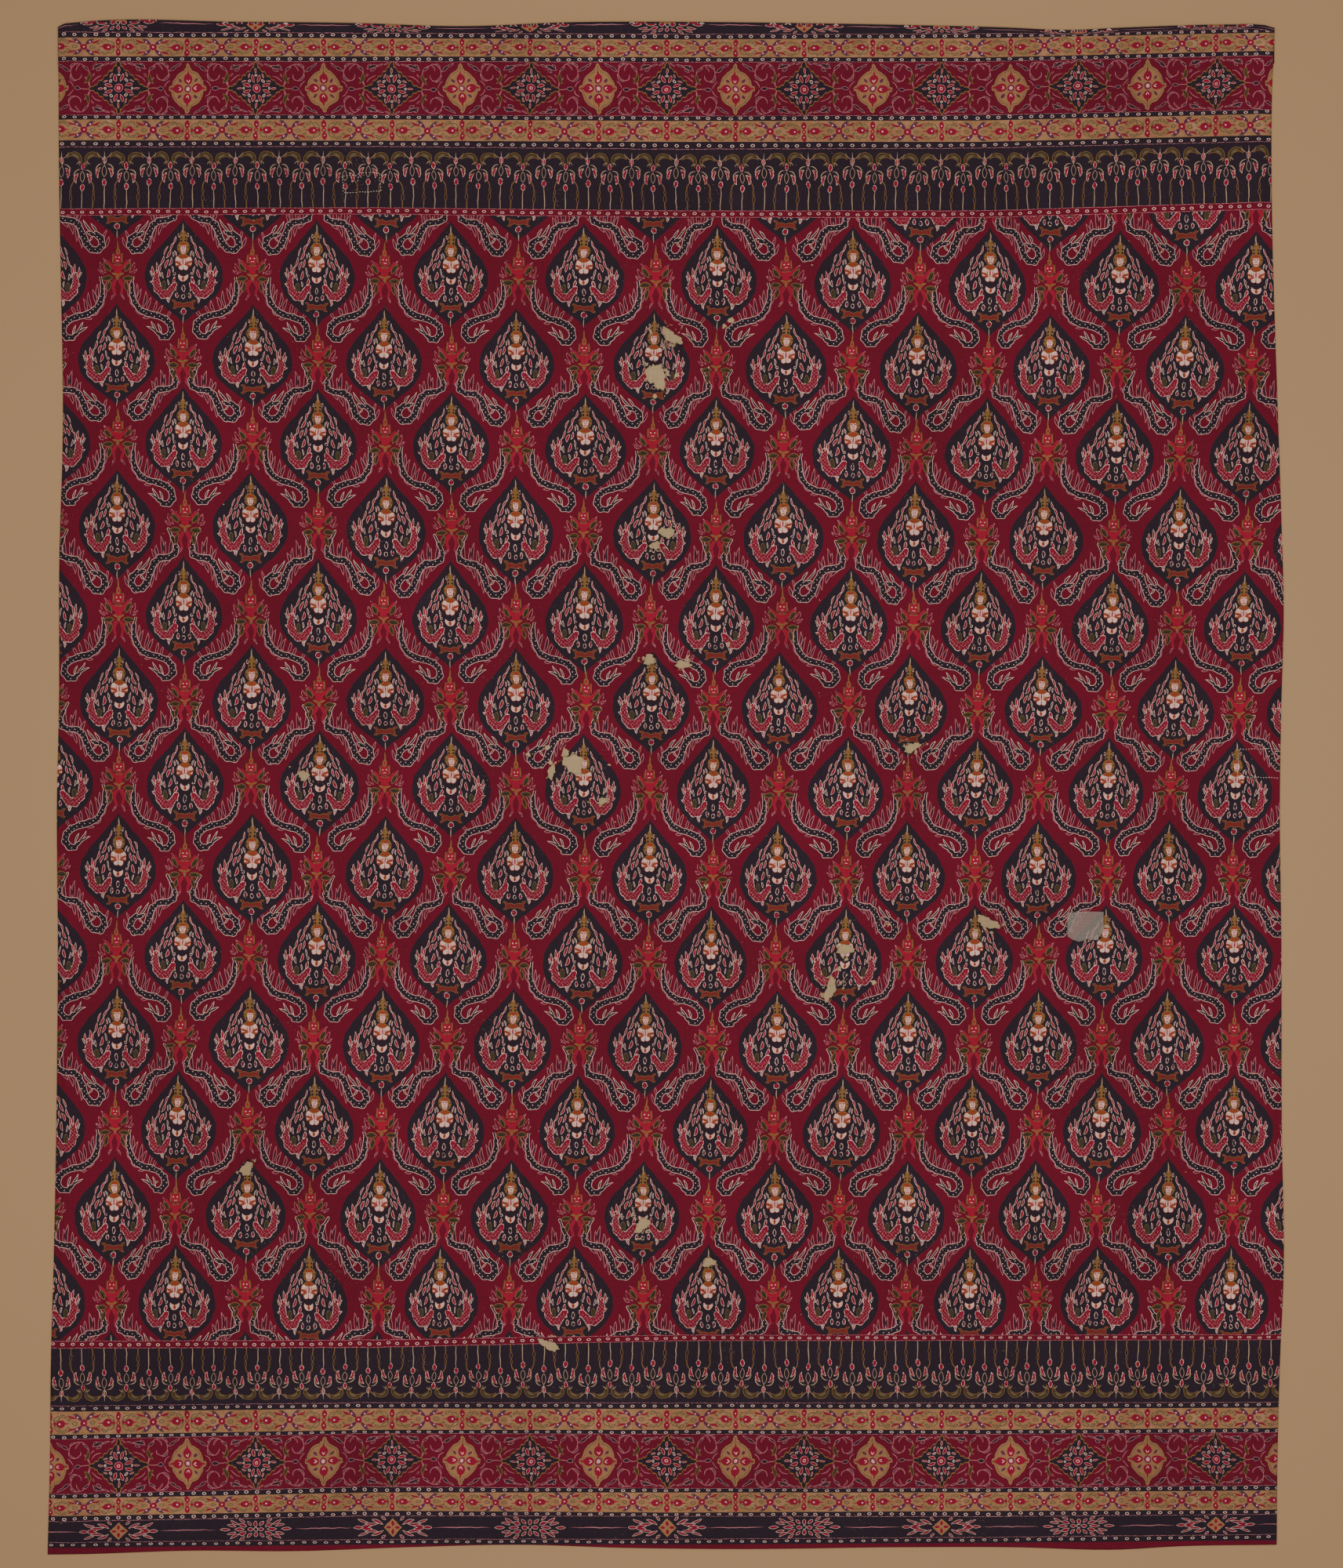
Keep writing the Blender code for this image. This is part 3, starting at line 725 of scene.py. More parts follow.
def tendril_dye(tree, place):
    """Hanging stems with red lotus buds over scrolling olive leaves, on the dark ground."""
    place = wandering(tree, wandering(tree, place, 4.0, 60.0), 1.3, 9.0)
    local = repeat(tree, place, TENDRIL_X, TENDRIL_PITCH)
    dye = Dye(tree, ink_colour("dark"), hand_line(tree, place, 0.16))
    sides, x, y = folded(tree, local)
    pen = Pen(tree, sides)
    half = TENDRIL_PITCH / 2
    leaf = pen.cut(pen.disc(11.0, 42.0, 6.4), pen.disc(9.0, 38.2, 6.6))
    dye.fill(leaf, "olive")
    dye.fill(pen.leaf(8.6, 46.4, 15.4, 42.8, 1.8, 0.8), "pen")
    dye.trace(leaf, "gold", 0.22)
    stems = pen.join(
        pen.leaf(0, -6, 0, 24, 0.75), pen.leaf(0.4, 42.6, 6.6, 48.6, 0.5, -1.0),
        pen.leaf(half, -6, half, 20, 0.7), pen.leaf(17.0, 40.0, 13.0, 37.6, 0.6, -0.8),
    )
    dye.fill(stems, "stem")
    beads = pen.join(
        pen.leaf(9.2, -2, 9.2, 7.5, 0.5), pen.leaf(9.2, 6, 9.0, 12.6, 2.2),
        pen.leaf(9.0, 12.6, 9.2, 17.4, 1.4), pen.leaf(9.2, 16.6, 12.6, 24.4, 0.5, 1.2),
    )
    dye.trace(beads, "gold", 0.18)
    petals = pen.join(
        pen.leaf(3.6, 34.6, 5.8, 26.6, 2.4, 1.6), pen.leaf(0, 25.4, 0, 19.6, 3.4),
        pen.leaf(0, 44.4, 0, 38.0, 3.0), pen.leaf(half - 3.6, 30.2, half - 5.6, 22.2, 2.4, -1.6),
        pen.leaf(half, 21.6, half, 15.8, 3.3), pen.leaf(half, 39.6, half, 33.4, 2.9),
    )
    dye.fill(petals, "red")
    dye.trace(petals, "white")
    cups = pen.join(
        pen.leaf(0, 36.4, 0, 27.0, 3.8), pen.leaf(half, 32.2, half, 23.2, 3.6),
        pen.leaf(0, 36.0, 0, 46.6, 0.3), pen.leaf(3.2, 37.6, 7.2, 31.0, 0.5, 1.9),
        pen.leaf(half - 3.2, 33.4, half - 7.0, 26.8, 0.5, -1.9),
    )
    dye.trace(cups, "stem", 0.2)
    return dye.colour


def ochre_dye(tree, place):
    """Red and purple sprigs by turns, four-armed and long, on the ochre ground."""
    place = wandering(tree, wandering(tree, place, 3.0, 50.0), 1.4, 8.0)
    local = repeat(tree, place, DIAMOND_X, DIAMOND_PITCH / 2)
    dye = Dye(tree, ink_colour("ochre"), hand_line(tree, place))
    faded = add(tree, "ShaderNodeTexNoise", {"Vector": place, "Scale": 0.07, "Detail": 4.0, "Roughness": 0.7})
    dye.paint(add(tree, "ShaderNodeMapRange", {"Value": faded, 1: 0.46, 2: 0.7}), "light")
    offset = add(tree, VECTOR, [local, (0, 8.9, 0)], operation="SUBTRACT")
    quarter = add(tree, VECTOR, [offset], operation="ABSOLUTE")
    pen = Pen(tree, quarter)
    half = DIAMOND_PITCH / 4
    leaves = pen.leaves([
        (3.4, 1.8, 9.4, 5.8, 2.8, 0.3), (half - 9.4, 0, half - 5.2, 0, 2.4),
        (half - 9.0, 7.8, half - 4.6, 6.6, 1.4), (10.0, 6.8, 14.6, 4.6, 1.8, 0.4),
        (15.6, 2.4, 19.4, 5.0, 1.2, 0.3),
    ])
    dye.trace(leaves, "pen", 0.4)
    purple = pen.leaves([
        (half - 1.8, 1.6, half - 8.2, 6.4, 3.0, -0.9), (half - 4.4, 5.2, half - 8.4, 7.8, 1.4, -0.5),
    ])
    dye.fill(purple, "purple")
    red = pen.join(
        pen.leaf(3.4, 0, 17.4, 0, 1.3), pen.leaf(5.4, 0, 13.4, 0, 6.2), pen.leaf(0, 1.4, 0, 8.8, 4.4),
        pen.disc(half, 0, 2.9), pen.disc(4.2, 0, 1.4), pen.leaf(half - 5.6, 4.4, half - 14.4, 7.2, 1.7, 0.9),
    )
    dye.fill(red, "red")
    dye.fill(pen.discs([(8.4, 0, 0.75), (half, 0, 0.7), (0, 4.6, 0.55), (half - 5.6, 5.0, 0.65)]), "white")
    dye.fill(pen.disc(0, 0, 1.6), "ochre")
    dye.trace(pen.disc(0, 0, 1.4), "red", 0.4)
    return dye.colour


def diamond_dye(tree, place):
    """Dark and ochre diamonds by turns, with scrolling vines between them, on crimson."""
    place = wandering(tree, wandering(tree, place, 4.0, 50.0), 1.8, 8.0)
    local = repeat(tree, place, DIAMOND_X, DIAMOND_PITCH)
    dye = Dye(tree, ink_colour("wine"), hand_line(tree, place))
    offset = add(tree, VECTOR, [local, (0, 22.85, 0)], operation="SUBTRACT")
    quarter = add(tree, VECTOR, [offset], operation="ABSOLUTE")
    half = DIAMOND_PITCH / 2
    pen = Pen(tree, quarter)
    other = add(tree, VECTOR, [quarter, (half, 0, 0)], operation="SUBTRACT")
    other = add(tree, VECTOR, [other], operation="ABSOLUTE")
    inner = Pen(tree, other)

    vines = pen.join(
        pen.leaf(25.6, 6.8, 33.0, 21.4, 0.6, 3.6), pen.leaf(33.0, 21.4, 41.4, 12.6, 0.6, 3.2),
        pen.leaf(41.4, 12.6, 35.8, 7.0, 1.3, 1.6), pen.leaf(35.8, 7.0, 31.8, 12.0, 0.5, 1.3),
        pen.leaf(22.8, 0.8, 25.8, 7.0, 0.5, -1.0), pen.leaf(32.6, 20.8, 36.4, 15.8, 1.0, 0.8),
        pen.leaf(half - 33.4, 0, half - 26.0, 0, 0.3), pen.leaf(half - 20.0, 1.4, half - 16.0, 6.4, 0.4, 0.7),
        pen.leaf(14.6, 11.0, 22.0, 6.0, 0.4, 0.9), pen.leaf(20.6, 12.6, 22.6, 10.4, 1.2, 0.3),
    )
    dye.trace(vines, "pink", 0.13)
    corner = pen.leaves([
        (7.6, 20.8, 14.0, 18.6, 1.2, 0.4), (12.8, 20.0, 22.6, 16.4, 2.6, 0.5),
        (14.4, 17.6, 18.6, 15.0, 1.8, -0.3), (18.6, 20.8, 21.8, 18.0, 1.5, 0.2),
        (42.4, 15.0, 48.6, 19.6, 2.4, -0.5), (46.6, 18.2, 52.8, 21.4, 1.6, -0.3), (32.0, 0, 37.6, 0, 3.0),
        (41.8, 12.2, 36.6, 6.6, 1.2, 1.6), (30.4, 18.8, 25.4, 15.0, 1.8, -0.5),
        (37.0, 21.6, 41.4, 18.6, 1.4, 0.3), (24.6, 3.6, 28.8, 9.6, 1.0, 0.6),
        (2.6, 22.2, 6.4, 19.8, 1.1, -0.2),
    ])
    dye.fill(corner, "dark")
    dye.trace(corner, "pink", 0.17)
    curl = pen.leaf(25.4, 13.4, 28.6, 4.6, 2.8, -1.4)
    dye.fill(curl, "olive")
    dye.trace(curl, "gold", 0.22)

    x = add(tree, "ShaderNodeSeparateXYZ", [quarter], "X")
    wave = add(tree, MATH, [x, 1.5], operation="MULTIPLY")
    wave = add(tree, MATH, [wave], operation="SINE")
    slope = add(tree, VECTOR, [quarter, (0.66, 0.75, 0)], "Value", operation="DOT_PRODUCT")
    scallop = add(tree, MATH, [wave, 0.6, slope], operation="MULTIPLY_ADD")
    edge = add(tree, MATH, [scallop, 14.6], operation="SUBTRACT")
    dark = pen.join(edge, pen.leaf(0, 15, 0, 22.5, 3.0), pen.leaf(18, 0, 25.0, 0, 3.0))
    rim = add(tree, MATH, [dark, 0.8], operation="SUBTRACT")
    dye.fill(rim, "gold")
    dye.fill(dark, "dark")
    slope = add(tree, VECTOR, [other, (0.79, 0.66, 0)], "Value", operation="DOT_PRODUCT")
    wave = add(tree, VECTOR, [other, (0.9, -0.9, 0)], "Value", operation="DOT_PRODUCT")
    wave = add(tree, MATH, [wave], operation="COSINE")
    barbed = add(tree, MATH, [wave, -0.6, slope], operation="MULTIPLY_ADD")
    edge = add(tree, MATH, [barbed, 13.0], operation="SUBTRACT")
    body = inner.join(edge, inner.oval(0, 0, 14.0, 16.0), inner.leaf(0, 15, 0, 21.6, 4.0))
    dye.fill(body, "ochre")
    dye.trace(add(tree, MATH, [body, 1.5], operation="ADD"), "pen", 0.3)

    star, _ = octant(tree, quarter, 0, 0)
    petals = Pen(tree, star)
    flower = petals.join(
        petals.leaf(5.4, 1.4, 11.6, 3.4, 2.4, 0.4), petals.leaf(12.6, 0.0, 17.4, 0.0, 1.5),
        petals.leaf(9.0, 6.4, 12.6, 5.2, 1.2, 0.3),
    )
    dye.fill(flower, "red")
    dye.trace(flower, "pale", 0.11)
    dye.trace(petals.join(petals.disc(6.6, 5.8, 0.8), petals.disc(11.0, 0.4, 0.6)), "white", 0.22)
    heart = petals.disc(0, 0, 3.4)
    dye.fill(heart, "red")
    dye.trace(heart, "pink", 0.24)
    dye.trace(petals.disc(0, 0, 1.1), "white", 0.26)

    cross, _ = octant(tree, other, 0, 0)
    petals = Pen(tree, cross)
    flower = petals.join(petals.leaf(4.4, 0, 16.2, 0, 2.0), petals.leaf(3.6, 0, 12.8, 0, 7.2))
    dye.fill(flower, "red")
    dye.fill(petals.leaf(5.2, 0.0, 8.0, 1.4, 0.8), "pale")
    dye.fill(petals.leaf(5.2, 5.2, 8.4, 8.4, 2.2), "purple")
    heart = petals.disc(0, 0, 3.0)
    dye.fill(heart, "purple")
    dye.fill(petals.disc(0, 0, 1.5), "pale")
    dye.trace(petals.disc(0, 0, 2.0), "rose", 0.4)
    return dye.colour


def spray_dye(tree, place, start=DIAMOND_X):
    """Long flower sprays, round and diamond-hearted by turns, on the dark outer band."""
    place = wandering(tree, place, 1.2, 8.0)
    local = repeat(tree, place, start, 2 * DIAMOND_PITCH)
    dye = Dye(tree, ink_colour("dark"), hand_line(tree, place))
    offset = add(tree, VECTOR, [local, (0, SPRAY_HEIGHT / 2, 0)], operation="SUBTRACT")
    quarter = add(tree, VECTOR, [offset], operation="ABSOLUTE")
    pen = Pen(tree, quarter)
    dye.fill(pen.leaf(34, 0, 84, 0, 0.7), "pink")
    sprays = pen.leaves([
        (8.5, 2.6, 18.0, 6.6, 2.2, 0.6), (12.5, 3.6, 24.0, 3.2, 2.0, -0.6), (18.0, 1.2, 27.0, 0.4, 2.4, 0.2),
        (21.0, 4.4, 29.5, 7.2, 1.8, -0.5), (26.0, 0.0, 33.5, 0.0, 2.6), (6.2, 6.2, 9.5, 9.0, 1.8, 0.0),
    ])
    dye.fill(add(tree, MATH, [sprays, 0.35], operation="ADD"), "red")
    dye.trace(sprays, "white", 0.13)
    rhomb = add(tree, VECTOR, [quarter, (0.72, 0.70, 0)], "Value", operation="DOT_PRODUCT")
    dye.fill(add(tree, MATH, [rhomb, 5.6], operation="SUBTRACT"), "ochre")
    dye.fill(pen.leaves([(0, 1.2, 0, 5.8, 2.6), (1.6, 0, 6.0, 0, 2.4)]), "red")
    other = add(tree, VECTOR, [quarter, (DIAMOND_PITCH, 0, 0)], operation="SUBTRACT")
    other = add(tree, VECTOR, [other], operation="ABSOLUTE")
    pen = Pen(tree, other)
    blooms = pen.leaves([
        (2.2, 0, 7.0, 0, 3.0), (0, 2.2, 0, 7.0, 3.0), (3.4, 3.4, 7.2, 7.0, 2.4, 0.0),
        (8.0, 2.2, 14.5, 4.4, 3.0, 0.4), (9.5, 0, 18.0, 0.0, 2.6), (14.5, 4.6, 21.5, 8.0, 2.2, -0.5),
        (17.0, 2.4, 24.5, 4.0, 2.0, 0.4), (22.0, 0, 30.5, 0, 2.4), (9.5, 6.2, 14.0, 9.0, 2.0, 0.3),
    ])
    dye.fill(add(tree, MATH, [blooms, 0.35], operation="ADD"), "red")
    dye.trace(blooms, "white", 0.13)
    dye.trace(pen.disc(0, 0, 1.6), "white")
    return dye.colour


def weave(tree, colour, object_place, wear):
    """Ages a flat colour into woven, dyed and worn cotton, and gives the colour and a height."""
    millimetres = add(tree, VECTOR, {0: object_place, "Scale": 1 / MM}, operation="SCALE")
    weft = add(tree, VECTOR, [millimetres, (WEFT_STREAK, THREAD_RATE, 0)], operation="MULTIPLY")
    warp = add(tree, VECTOR, [millimetres, (THREAD_RATE, WARP_STREAK, 0)], operation="MULTIPLY")
    across = add(tree, "ShaderNodeTexNoise", {"Vector": weft, "Scale": 1.0, "Detail": 2.0})
    along = add(tree, "ShaderNodeTexNoise", {"Vector": warp, "Scale": 1.0, "Detail": 2.0})
    threads = add(tree, MATH, [across, along], operation="ADD")
    cloud = add(tree, "ShaderNodeTexNoise", {"Vector": millimetres, "Scale": CLOUD_RATE, "Detail": 3.0})
    shade = add(tree, MATH, [threads, cloud], operation="ADD")
    darkest, palest = THREAD_SHADES
    value = add(tree, "ShaderNodeMapRange", {"Value": shade, 1: 0.9, 2: 2.1, 3: darkest, 4: palest})
    colour = add(tree, "ShaderNodeHueSaturation", {"Value": value, "Color": colour})
    if wear:
        inputs = {"Vector": millimetres, "Scale": SPECK_RATE, "Detail": 2.0, "Roughness": 0.7}
        grain = add(tree, "ShaderNodeTexNoise", inputs)
        patches = add(tree, "ShaderNodeTexNoise", {"Vector": millimetres, "Scale": PATCH_RATE, "Detail": 1.0})
        limit = add(tree, MATH, [patches, -0.32, 0.92], operation="MULTIPLY_ADD")
        specks = add(tree, MATH, [grain, limit], operation="GREATER_THAN")
        brightness = add(tree, "ShaderNodeRGBToBW", [colour])
        darkness = add(tree, MATH, [brightness, 0.03], operation="LESS_THAN")
        mask = add(tree, MATH, [specks, darkness], operation="MULTIPLY")
        inputs = {0: mask, 6: colour, 7: ink_colour("bare")}
        colour = add(tree, "ShaderNodeMix", inputs, 2, data_type="RGBA")
    return colour, threads


def worn(tree, colour, object_place):
    """Lays the small worn spots over the dyes."""
    millimetres = add(tree, VECTOR, {0: object_place, "Scale": 1 / MM}, operation="SCALE")
    pen = Pen(tree, wandering(tree, millimetres, 4.0, 3.0))
    dye = Dye(tree, colour, 0.3)
    dye.fill(pen.discs(WORN_SPOTS), "bare")
    edges = pen.discs([(x, y, (width + height) / 4) for x, y, width, height, _ in HOLES])
    near = add(tree, "ShaderNodeMapRange", {"Value": edges, 1: WORN_REACH, 2: 0.0})
    inputs = {"Vector": millimetres, "Scale": WORN_RATE, "Detail": 3.0, "Roughness": 0.6}
    chance = add(tree, "ShaderNodeTexNoise", inputs)
    worst = add(tree, MATH, [near, near], operation="MULTIPLY")
    chance = add(tree, MATH, [worst, 0.17, chance], operation="MULTIPLY_ADD")
    dye.paint(add(tree, MATH, [chance, 0.76], operation="GREATER_THAN"), "bare")
    return dye.colour


def cloth_material(name, draw, how=(), wear=True, spots=False, veil=None):
    """A matt woven cotton with this pattern drawn on it."""
    material = bpy.data.materials.new(name)
    material.use_nodes = True
    tree = material.node_tree
    shader = tree.nodes["Principled BSDF"]
    flat = add(tree, "ShaderNodeUVMap", uv_map="Dye")
    object_place = add(tree, "ShaderNodeTexCoord", output="Object")
    colour = draw(tree, flat, *how)
    if spots:
        colour = worn(tree, colour, object_place)
    if veil:
        colour = add(tree, "ShaderNodeMix", {0: 0.62, 6: colour, 7: ink_colour(veil)}, 2, data_type="RGBA")
    colour, threads = weave(tree, colour, object_place, wear)
    bump = add(tree, "ShaderNodeBump", {"Strength": 0.35, "Distance": THREAD_RELIEF, "Height": threads})
    for socket, value in (("Base Color", colour), ("Normal", bump)):
        tree.links.new(value, shader.inputs[socket])
    shader.inputs["Roughness"].default_value = 0.88
    shader.inputs["Specular IOR Level"].default_value = 0.25
    shader.inputs["Sheen Weight"].default_value = 0.06
    return material


def plain_material(name, ink):
    """A woven cotton of one colour, with no pattern."""
    return cloth_material(name, lambda tree, place: ink_colour(ink), wear=False)


@functools.lru_cache
def edge_curve(edge):
    """An edge's places, values and slopes, in metres."""
    places, values = np.array(edge, float).T * MM
    return places, values, np.gradient(values, places)


def edge_at(edge, along):
    """Where an edge lies at this place along it, in metres, on a smooth curve through its rows."""
    places, values, slopes = edge_curve(edge)
    along = min(max(along, places[0]), places[-1])
    i = min(np.searchsorted(places, along, side="right") - 1, len(places) - 2)
    span = places[i + 1] - places[i]
    t = (along - places[i]) / span
    start = (2 * t**3 - 3 * t**2 + 1) * values[i] + (t**3 - 2 * t**2 + t) * span * slopes[i]
    end = (3 * t**2 - 2 * t**3) * values[i + 1] + (t**3 - t**2) * span * slopes[i + 1]
    return start + end


def eased(value, low, high):
    """0 below low and 1 above high, with a smooth rise between."""
    t = min(max((value - low) / (high - low), 0), 1)
    return t * t * (3 - 2 * t)


def steps(low, high, count):
    return [low + (high - low) * i / count for i in range(count + 1)]


def edge_lift(distance):
    """How far the backing's edge lifts the cloth, at this distance from the cloth's own edge."""
    return (BACKING_THICK + GAP) * eased(distance, EDGE_FLAT, EDGE_RISE)


def hem_lift(from_top):
    """How far the turned edge lifts the layers above it, at this distance from the fold."""
    return (CLOTH_THICK + GAP) * (1 - eased(from_top, RAMP_START, RAMP_END))


def row_level(heights, x):
    """A field row's y in millimetres at this x in millimetres."""
    return float(np.interp(x, ROW_STATIONS, heights))


@functools.lru_cache(maxsize=None)
def lattice(x, y):
    """The field pattern's own place, in millimetres of its even lattice, for a place on the cloth."""
    levels = [(number, row_level(heights, x)) for number, *heights in ROWS]
    levels = [(1, levels[0][1] + ROW)] + levels + [(-13, levels[-1][1] - ROW)]
    numbers, heights = zip(*reversed(levels))
    q = float(np.interp(y, heights, numbers))
    axes = [float(np.interp(-q, (0, 6.5, 12), at)) for _, *at in COLUMNS]
    p = float(np.interp(x, axes, [number for number, *_ in COLUMNS]))
    return p * HALF_COLUMN, q * ROW


def line_rows():
    """The cloth's rows from the bottom edge up: each line's heights, the strip above it, and steps.

    Each strip is its dye, its full height, and where its lower and upper lines are in that height.
    """
    rows = []
    rows.append(("edge", None, ("hem_strip", 5.0, 5.0, 0.0), 3))
    for dye, height, outer in reversed(BOTTOM_BANDS):
        rows.append(("stations", outer, (dye, height, height, 0.0), max(1, round(height / BAND_STEP))))
    rows.append(("stations", FIELD_BOTTOM, ("field_over", None, 0, 0), 3))
    for number, *heights in reversed(ROWS[1:]):
        form = "field_under" if number % 2 else "field_over"
        rows.append(("row", heights, (form, None, 0, 0), 9))
    rows.append(("row", ROWS[0][1:], ("field_over", None, 0, 0), 7))
    inner = FIELD_TOP
    for dye, height, outer in TOP_BANDS:
        rows.append(("stations", inner, (dye, height, 0.0, height), max(1, round(height / BAND_STEP))))
        inner = outer
    rows.append(("stations", inner, ("top_sprays", SPRAY_HEIGHT, 0.0, FOLD_LEVEL), 3))
    return rows


def level_at(kind, heights, x):
    """A line's y in metres at this x in metres."""
    if kind == "edge":
        return edge_at(BOTTOM_EDGE, x)
    if kind == "row":
        return row_level(heights, x / MM) * MM
    return float(np.interp(x / MM, STATIONS, heights)) * MM


def cloth_columns(count):
    """Shares of the width, closer together near the two side edges."""
    width = 2 * HALF_WIDTH
    near = [0] + [d / width for d in steps(EDGE_FLAT, EDGE_RISE, EDGE_STEPS)]
    middle = steps(near[-1], 1 - near[-1], count)
    return near + middle[1:-1] + [1 - share for share in reversed(near)]


def grid_object(name, columns, rows, place, materials, thickness):
    """A sheet of even thickness, a grid whose points are placed by their column and row."""
    shape = bmesh.new()
    bmesh.ops.create_grid(shape, x_segments=len(columns) - 1, y_segments=len(rows) - 1, size=0.5)
    places = [[place(column, row) for column in columns] for row in rows]
    uv = shape.loops.layers.uv.new("Dye")
    for face in shape.faces:
        middle = face.calc_center_median()
        row = int((middle.y + 0.5) * (len(rows) - 1))
        face.material_index, lower, upper = rows[row][2]
        for loop in face.loops:
            j = round((loop.vert.co.y + 0.5) * (len(rows) - 1))
            i = round((loop.vert.co.x + 0.5) * (len(columns) - 1))
            x, y, _ = places[j][i]
            if lower is None:
                loop[uv].uv = lattice(x / MM, y / MM)
            else:
                loop[uv].uv = (x / MM, lower if j == row else upper)
    for point in shape.verts:
        i = round((point.co.x + 0.5) * (len(columns) - 1))
        j = round((point.co.y + 0.5) * (len(rows) - 1))
        point.co = places[j][i]
    for face in shape.faces:
        face.smooth = True
    mesh = bpy.data.meshes.new(name)
    shape.to_mesh(mesh)
    shape.free()
    for material in materials:
        mesh.materials.append(material)
    sheet = bpy.data.objects.new(name, mesh)
    bpy.context.scene.collection.objects.link(sheet)
    body = sheet.modifiers.new("thickness", "SOLIDIFY")
    body.thickness = thickness
    body.offset = 0
    body.use_even_offset = True
    return sheet


def settled(sheet):
    """Keeps the sheet's modifiers as its own mesh."""
    made = bpy.data.meshes.new_from_object(sheet.evaluated_get(bpy.context.evaluated_depsgraph_get()))
    sheet.modifiers.clear()
    old, sheet.data = sheet.data, made
    bpy.data.meshes.remove(old)


def lay_out(sheet, hem_line):
    """Gives the upper face nearly the whole of the picture layout, and the rest a thin strip."""
    mesh = sheet.data
    layout = mesh.uv_layers.new(name="OFBake")
    corners = np.array([corner[:] for corner in (Vector(c) for c in sheet.bound_box)])
    low, high = corners.min(axis=0), corners.max(axis=0)
    for face in mesh.polygons:
        hidden = face.center.y > hem_line and face.center.z < HIDDEN_HEIGHT
        upper = face.normal.z > 0.3 and not hidden
        for loop in face.loop_indices:
            point = mesh.vertices[mesh.loops[loop].vertex_index].co
            u = (point.x - low[0]) / (high[0] - low[0])
            v = (point.y - low[1]) / (high[1] - low[1])
            if upper:
                v = PICTURE_STRIP + PICTURE_MARGIN + (1 - PICTURE_STRIP - 2 * PICTURE_MARGIN) * v
            else:
                v = PICTURE_MARGIN / 2 + (PICTURE_STRIP - 1.5 * PICTURE_MARGIN) * v
            layout.data[loop].uv = (PICTURE_MARGIN + (1 - 2 * PICTURE_MARGIN) * u, v)


def hole_outline(width, height, turn):
    """A ragged round outline about the origin, on an ellipse."""
    points = []
    phase = math.radians(turn) + width
    for i in range(HOLE_POINTS):
        angle = 2 * math.pi * i / HOLE_POINTS
        ragged = 1 + 0.17 * math.sin(2 * angle + phase) + 0.15 * math.sin(3 * angle + 2 * phase)
        ragged += 0.09 * math.sin(7 * angle + 3 * phase) + 0.06 * math.sin(13 * angle + phase)
        points.append((width / 2 * ragged * math.cos(angle), height / 2 * ragged * math.sin(angle)))
    return points


def raised_outlines(name, outlines, low, high, material):
    """Upright solids on these outlines, in millimetres, as one object."""
    shape = bmesh.new()
    for outline in outlines:
        face = shape.faces.new([shape.verts.new((x * MM, y * MM, low)) for x, y in outline])
        made = bmesh.ops.extrude_face_region(shape, geom=[face])["geom"]
        points = [item for item in made if isinstance(item, bmesh.types.BMVert)]
        bmesh.ops.translate(shape, verts=points, vec=(0, 0, high - low))
    bmesh.ops.recalc_face_normals(shape, faces=shape.faces)
    mesh = bpy.data.meshes.new(name)
    shape.to_mesh(mesh)
    shape.free()
    mesh.materials.append(material)
    solid = bpy.data.objects.new(name, mesh)
    bpy.context.scene.collection.objects.link(solid)
    return solid


# Cotton dyed by hand, one material for each strip of the drawn pattern: a matt plain weave whose threads
# show as fine uneven streaks. Each row has the strip, the material's name, what draws it, and with what.
STRIPS = (
    ("field_over", "field_dyed_cotton_a", field_dye, ("over",)),
    ("field_under", "field_dyed_cotton_b", field_dye, ("under",)),
    ("stripe", "crimson_ring_stripe_cotton", dots_dye, ("crimson", 6.0, 8.2, (0.3, 5.7))),
    ("tendrils", "lotus_band_cotton", tendril_dye, ()),
    ("inner_dots", "dark_ring_stripe_cotton", dots_dye, ("dark", 5.7, 9.4, (0.3,))),
    ("dots_out", "narrow_ring_stripe_cotton_a", dots_dye, ("dark", 4.2, 9.2, (4.0,))),
    ("dots_in", "narrow_ring_stripe_cotton_b", dots_dye, ("dark", 4.2, 9.2, (0.2,))),
    ("ochre", "ochre_band_cotton", ochre_dye, ()),
    ("diamonds", "diamond_band_cotton", diamond_dye, ()),
    ("sprays", "spray_band_cotton", spray_dye, ()),
    ("top_sprays", "top_spray_band_cotton", spray_dye, (DIAMOND_X + DIAMOND_PITCH,)),
)


class DyedClothSettings(bpy.types.PropertyGroup):
    columns: bpy.props.IntProperty(
        name="Columns", description="Grid columns across the cloth", default=84, min=20
    )
    width: bpy.props.FloatProperty(
        name="Width", description="Width of the cut cloth", default=1.049, unit="LENGTH", subtype="DISTANCE"
    )
    length: bpy.props.FloatProperty(
        name="Length", description="Length of the cut cloth with its turned edge", default=1.337,
        unit="LENGTH", subtype="DISTANCE",
    )
    crimson: ink_setting("crimson", "Crimson", "The ground of the field")
    dark: ink_setting("dark", "Purple-black", "The ground of the medallions and of the dark bands")
    ochre: ink_setting("ochre", "Ochre", "The ground of the two ochre bands")
    white: ink_setting("white", "White", "The lines drawn in wax, which kept the cotton's own colour")


class BackingSettings(bpy.types.PropertyGroup):
    columns: bpy.props.IntProperty(
        name="Columns", description="Grid columns across the backing", default=20, min=4
    )
    width: bpy.props.FloatProperty(
        name="Width", description="Width of the cut backing", default=1.029, unit="LENGTH", subtype="DISTANCE"
    )
    length: bpy.props.FloatProperty(
        name="Length", description="Length of the cut backing", default=1.291,
        unit="LENGTH", subtype="DISTANCE",
    )
    bare: ink_setting("bare", "Cotton", "The undyed cotton of the backing and of the worn threads")


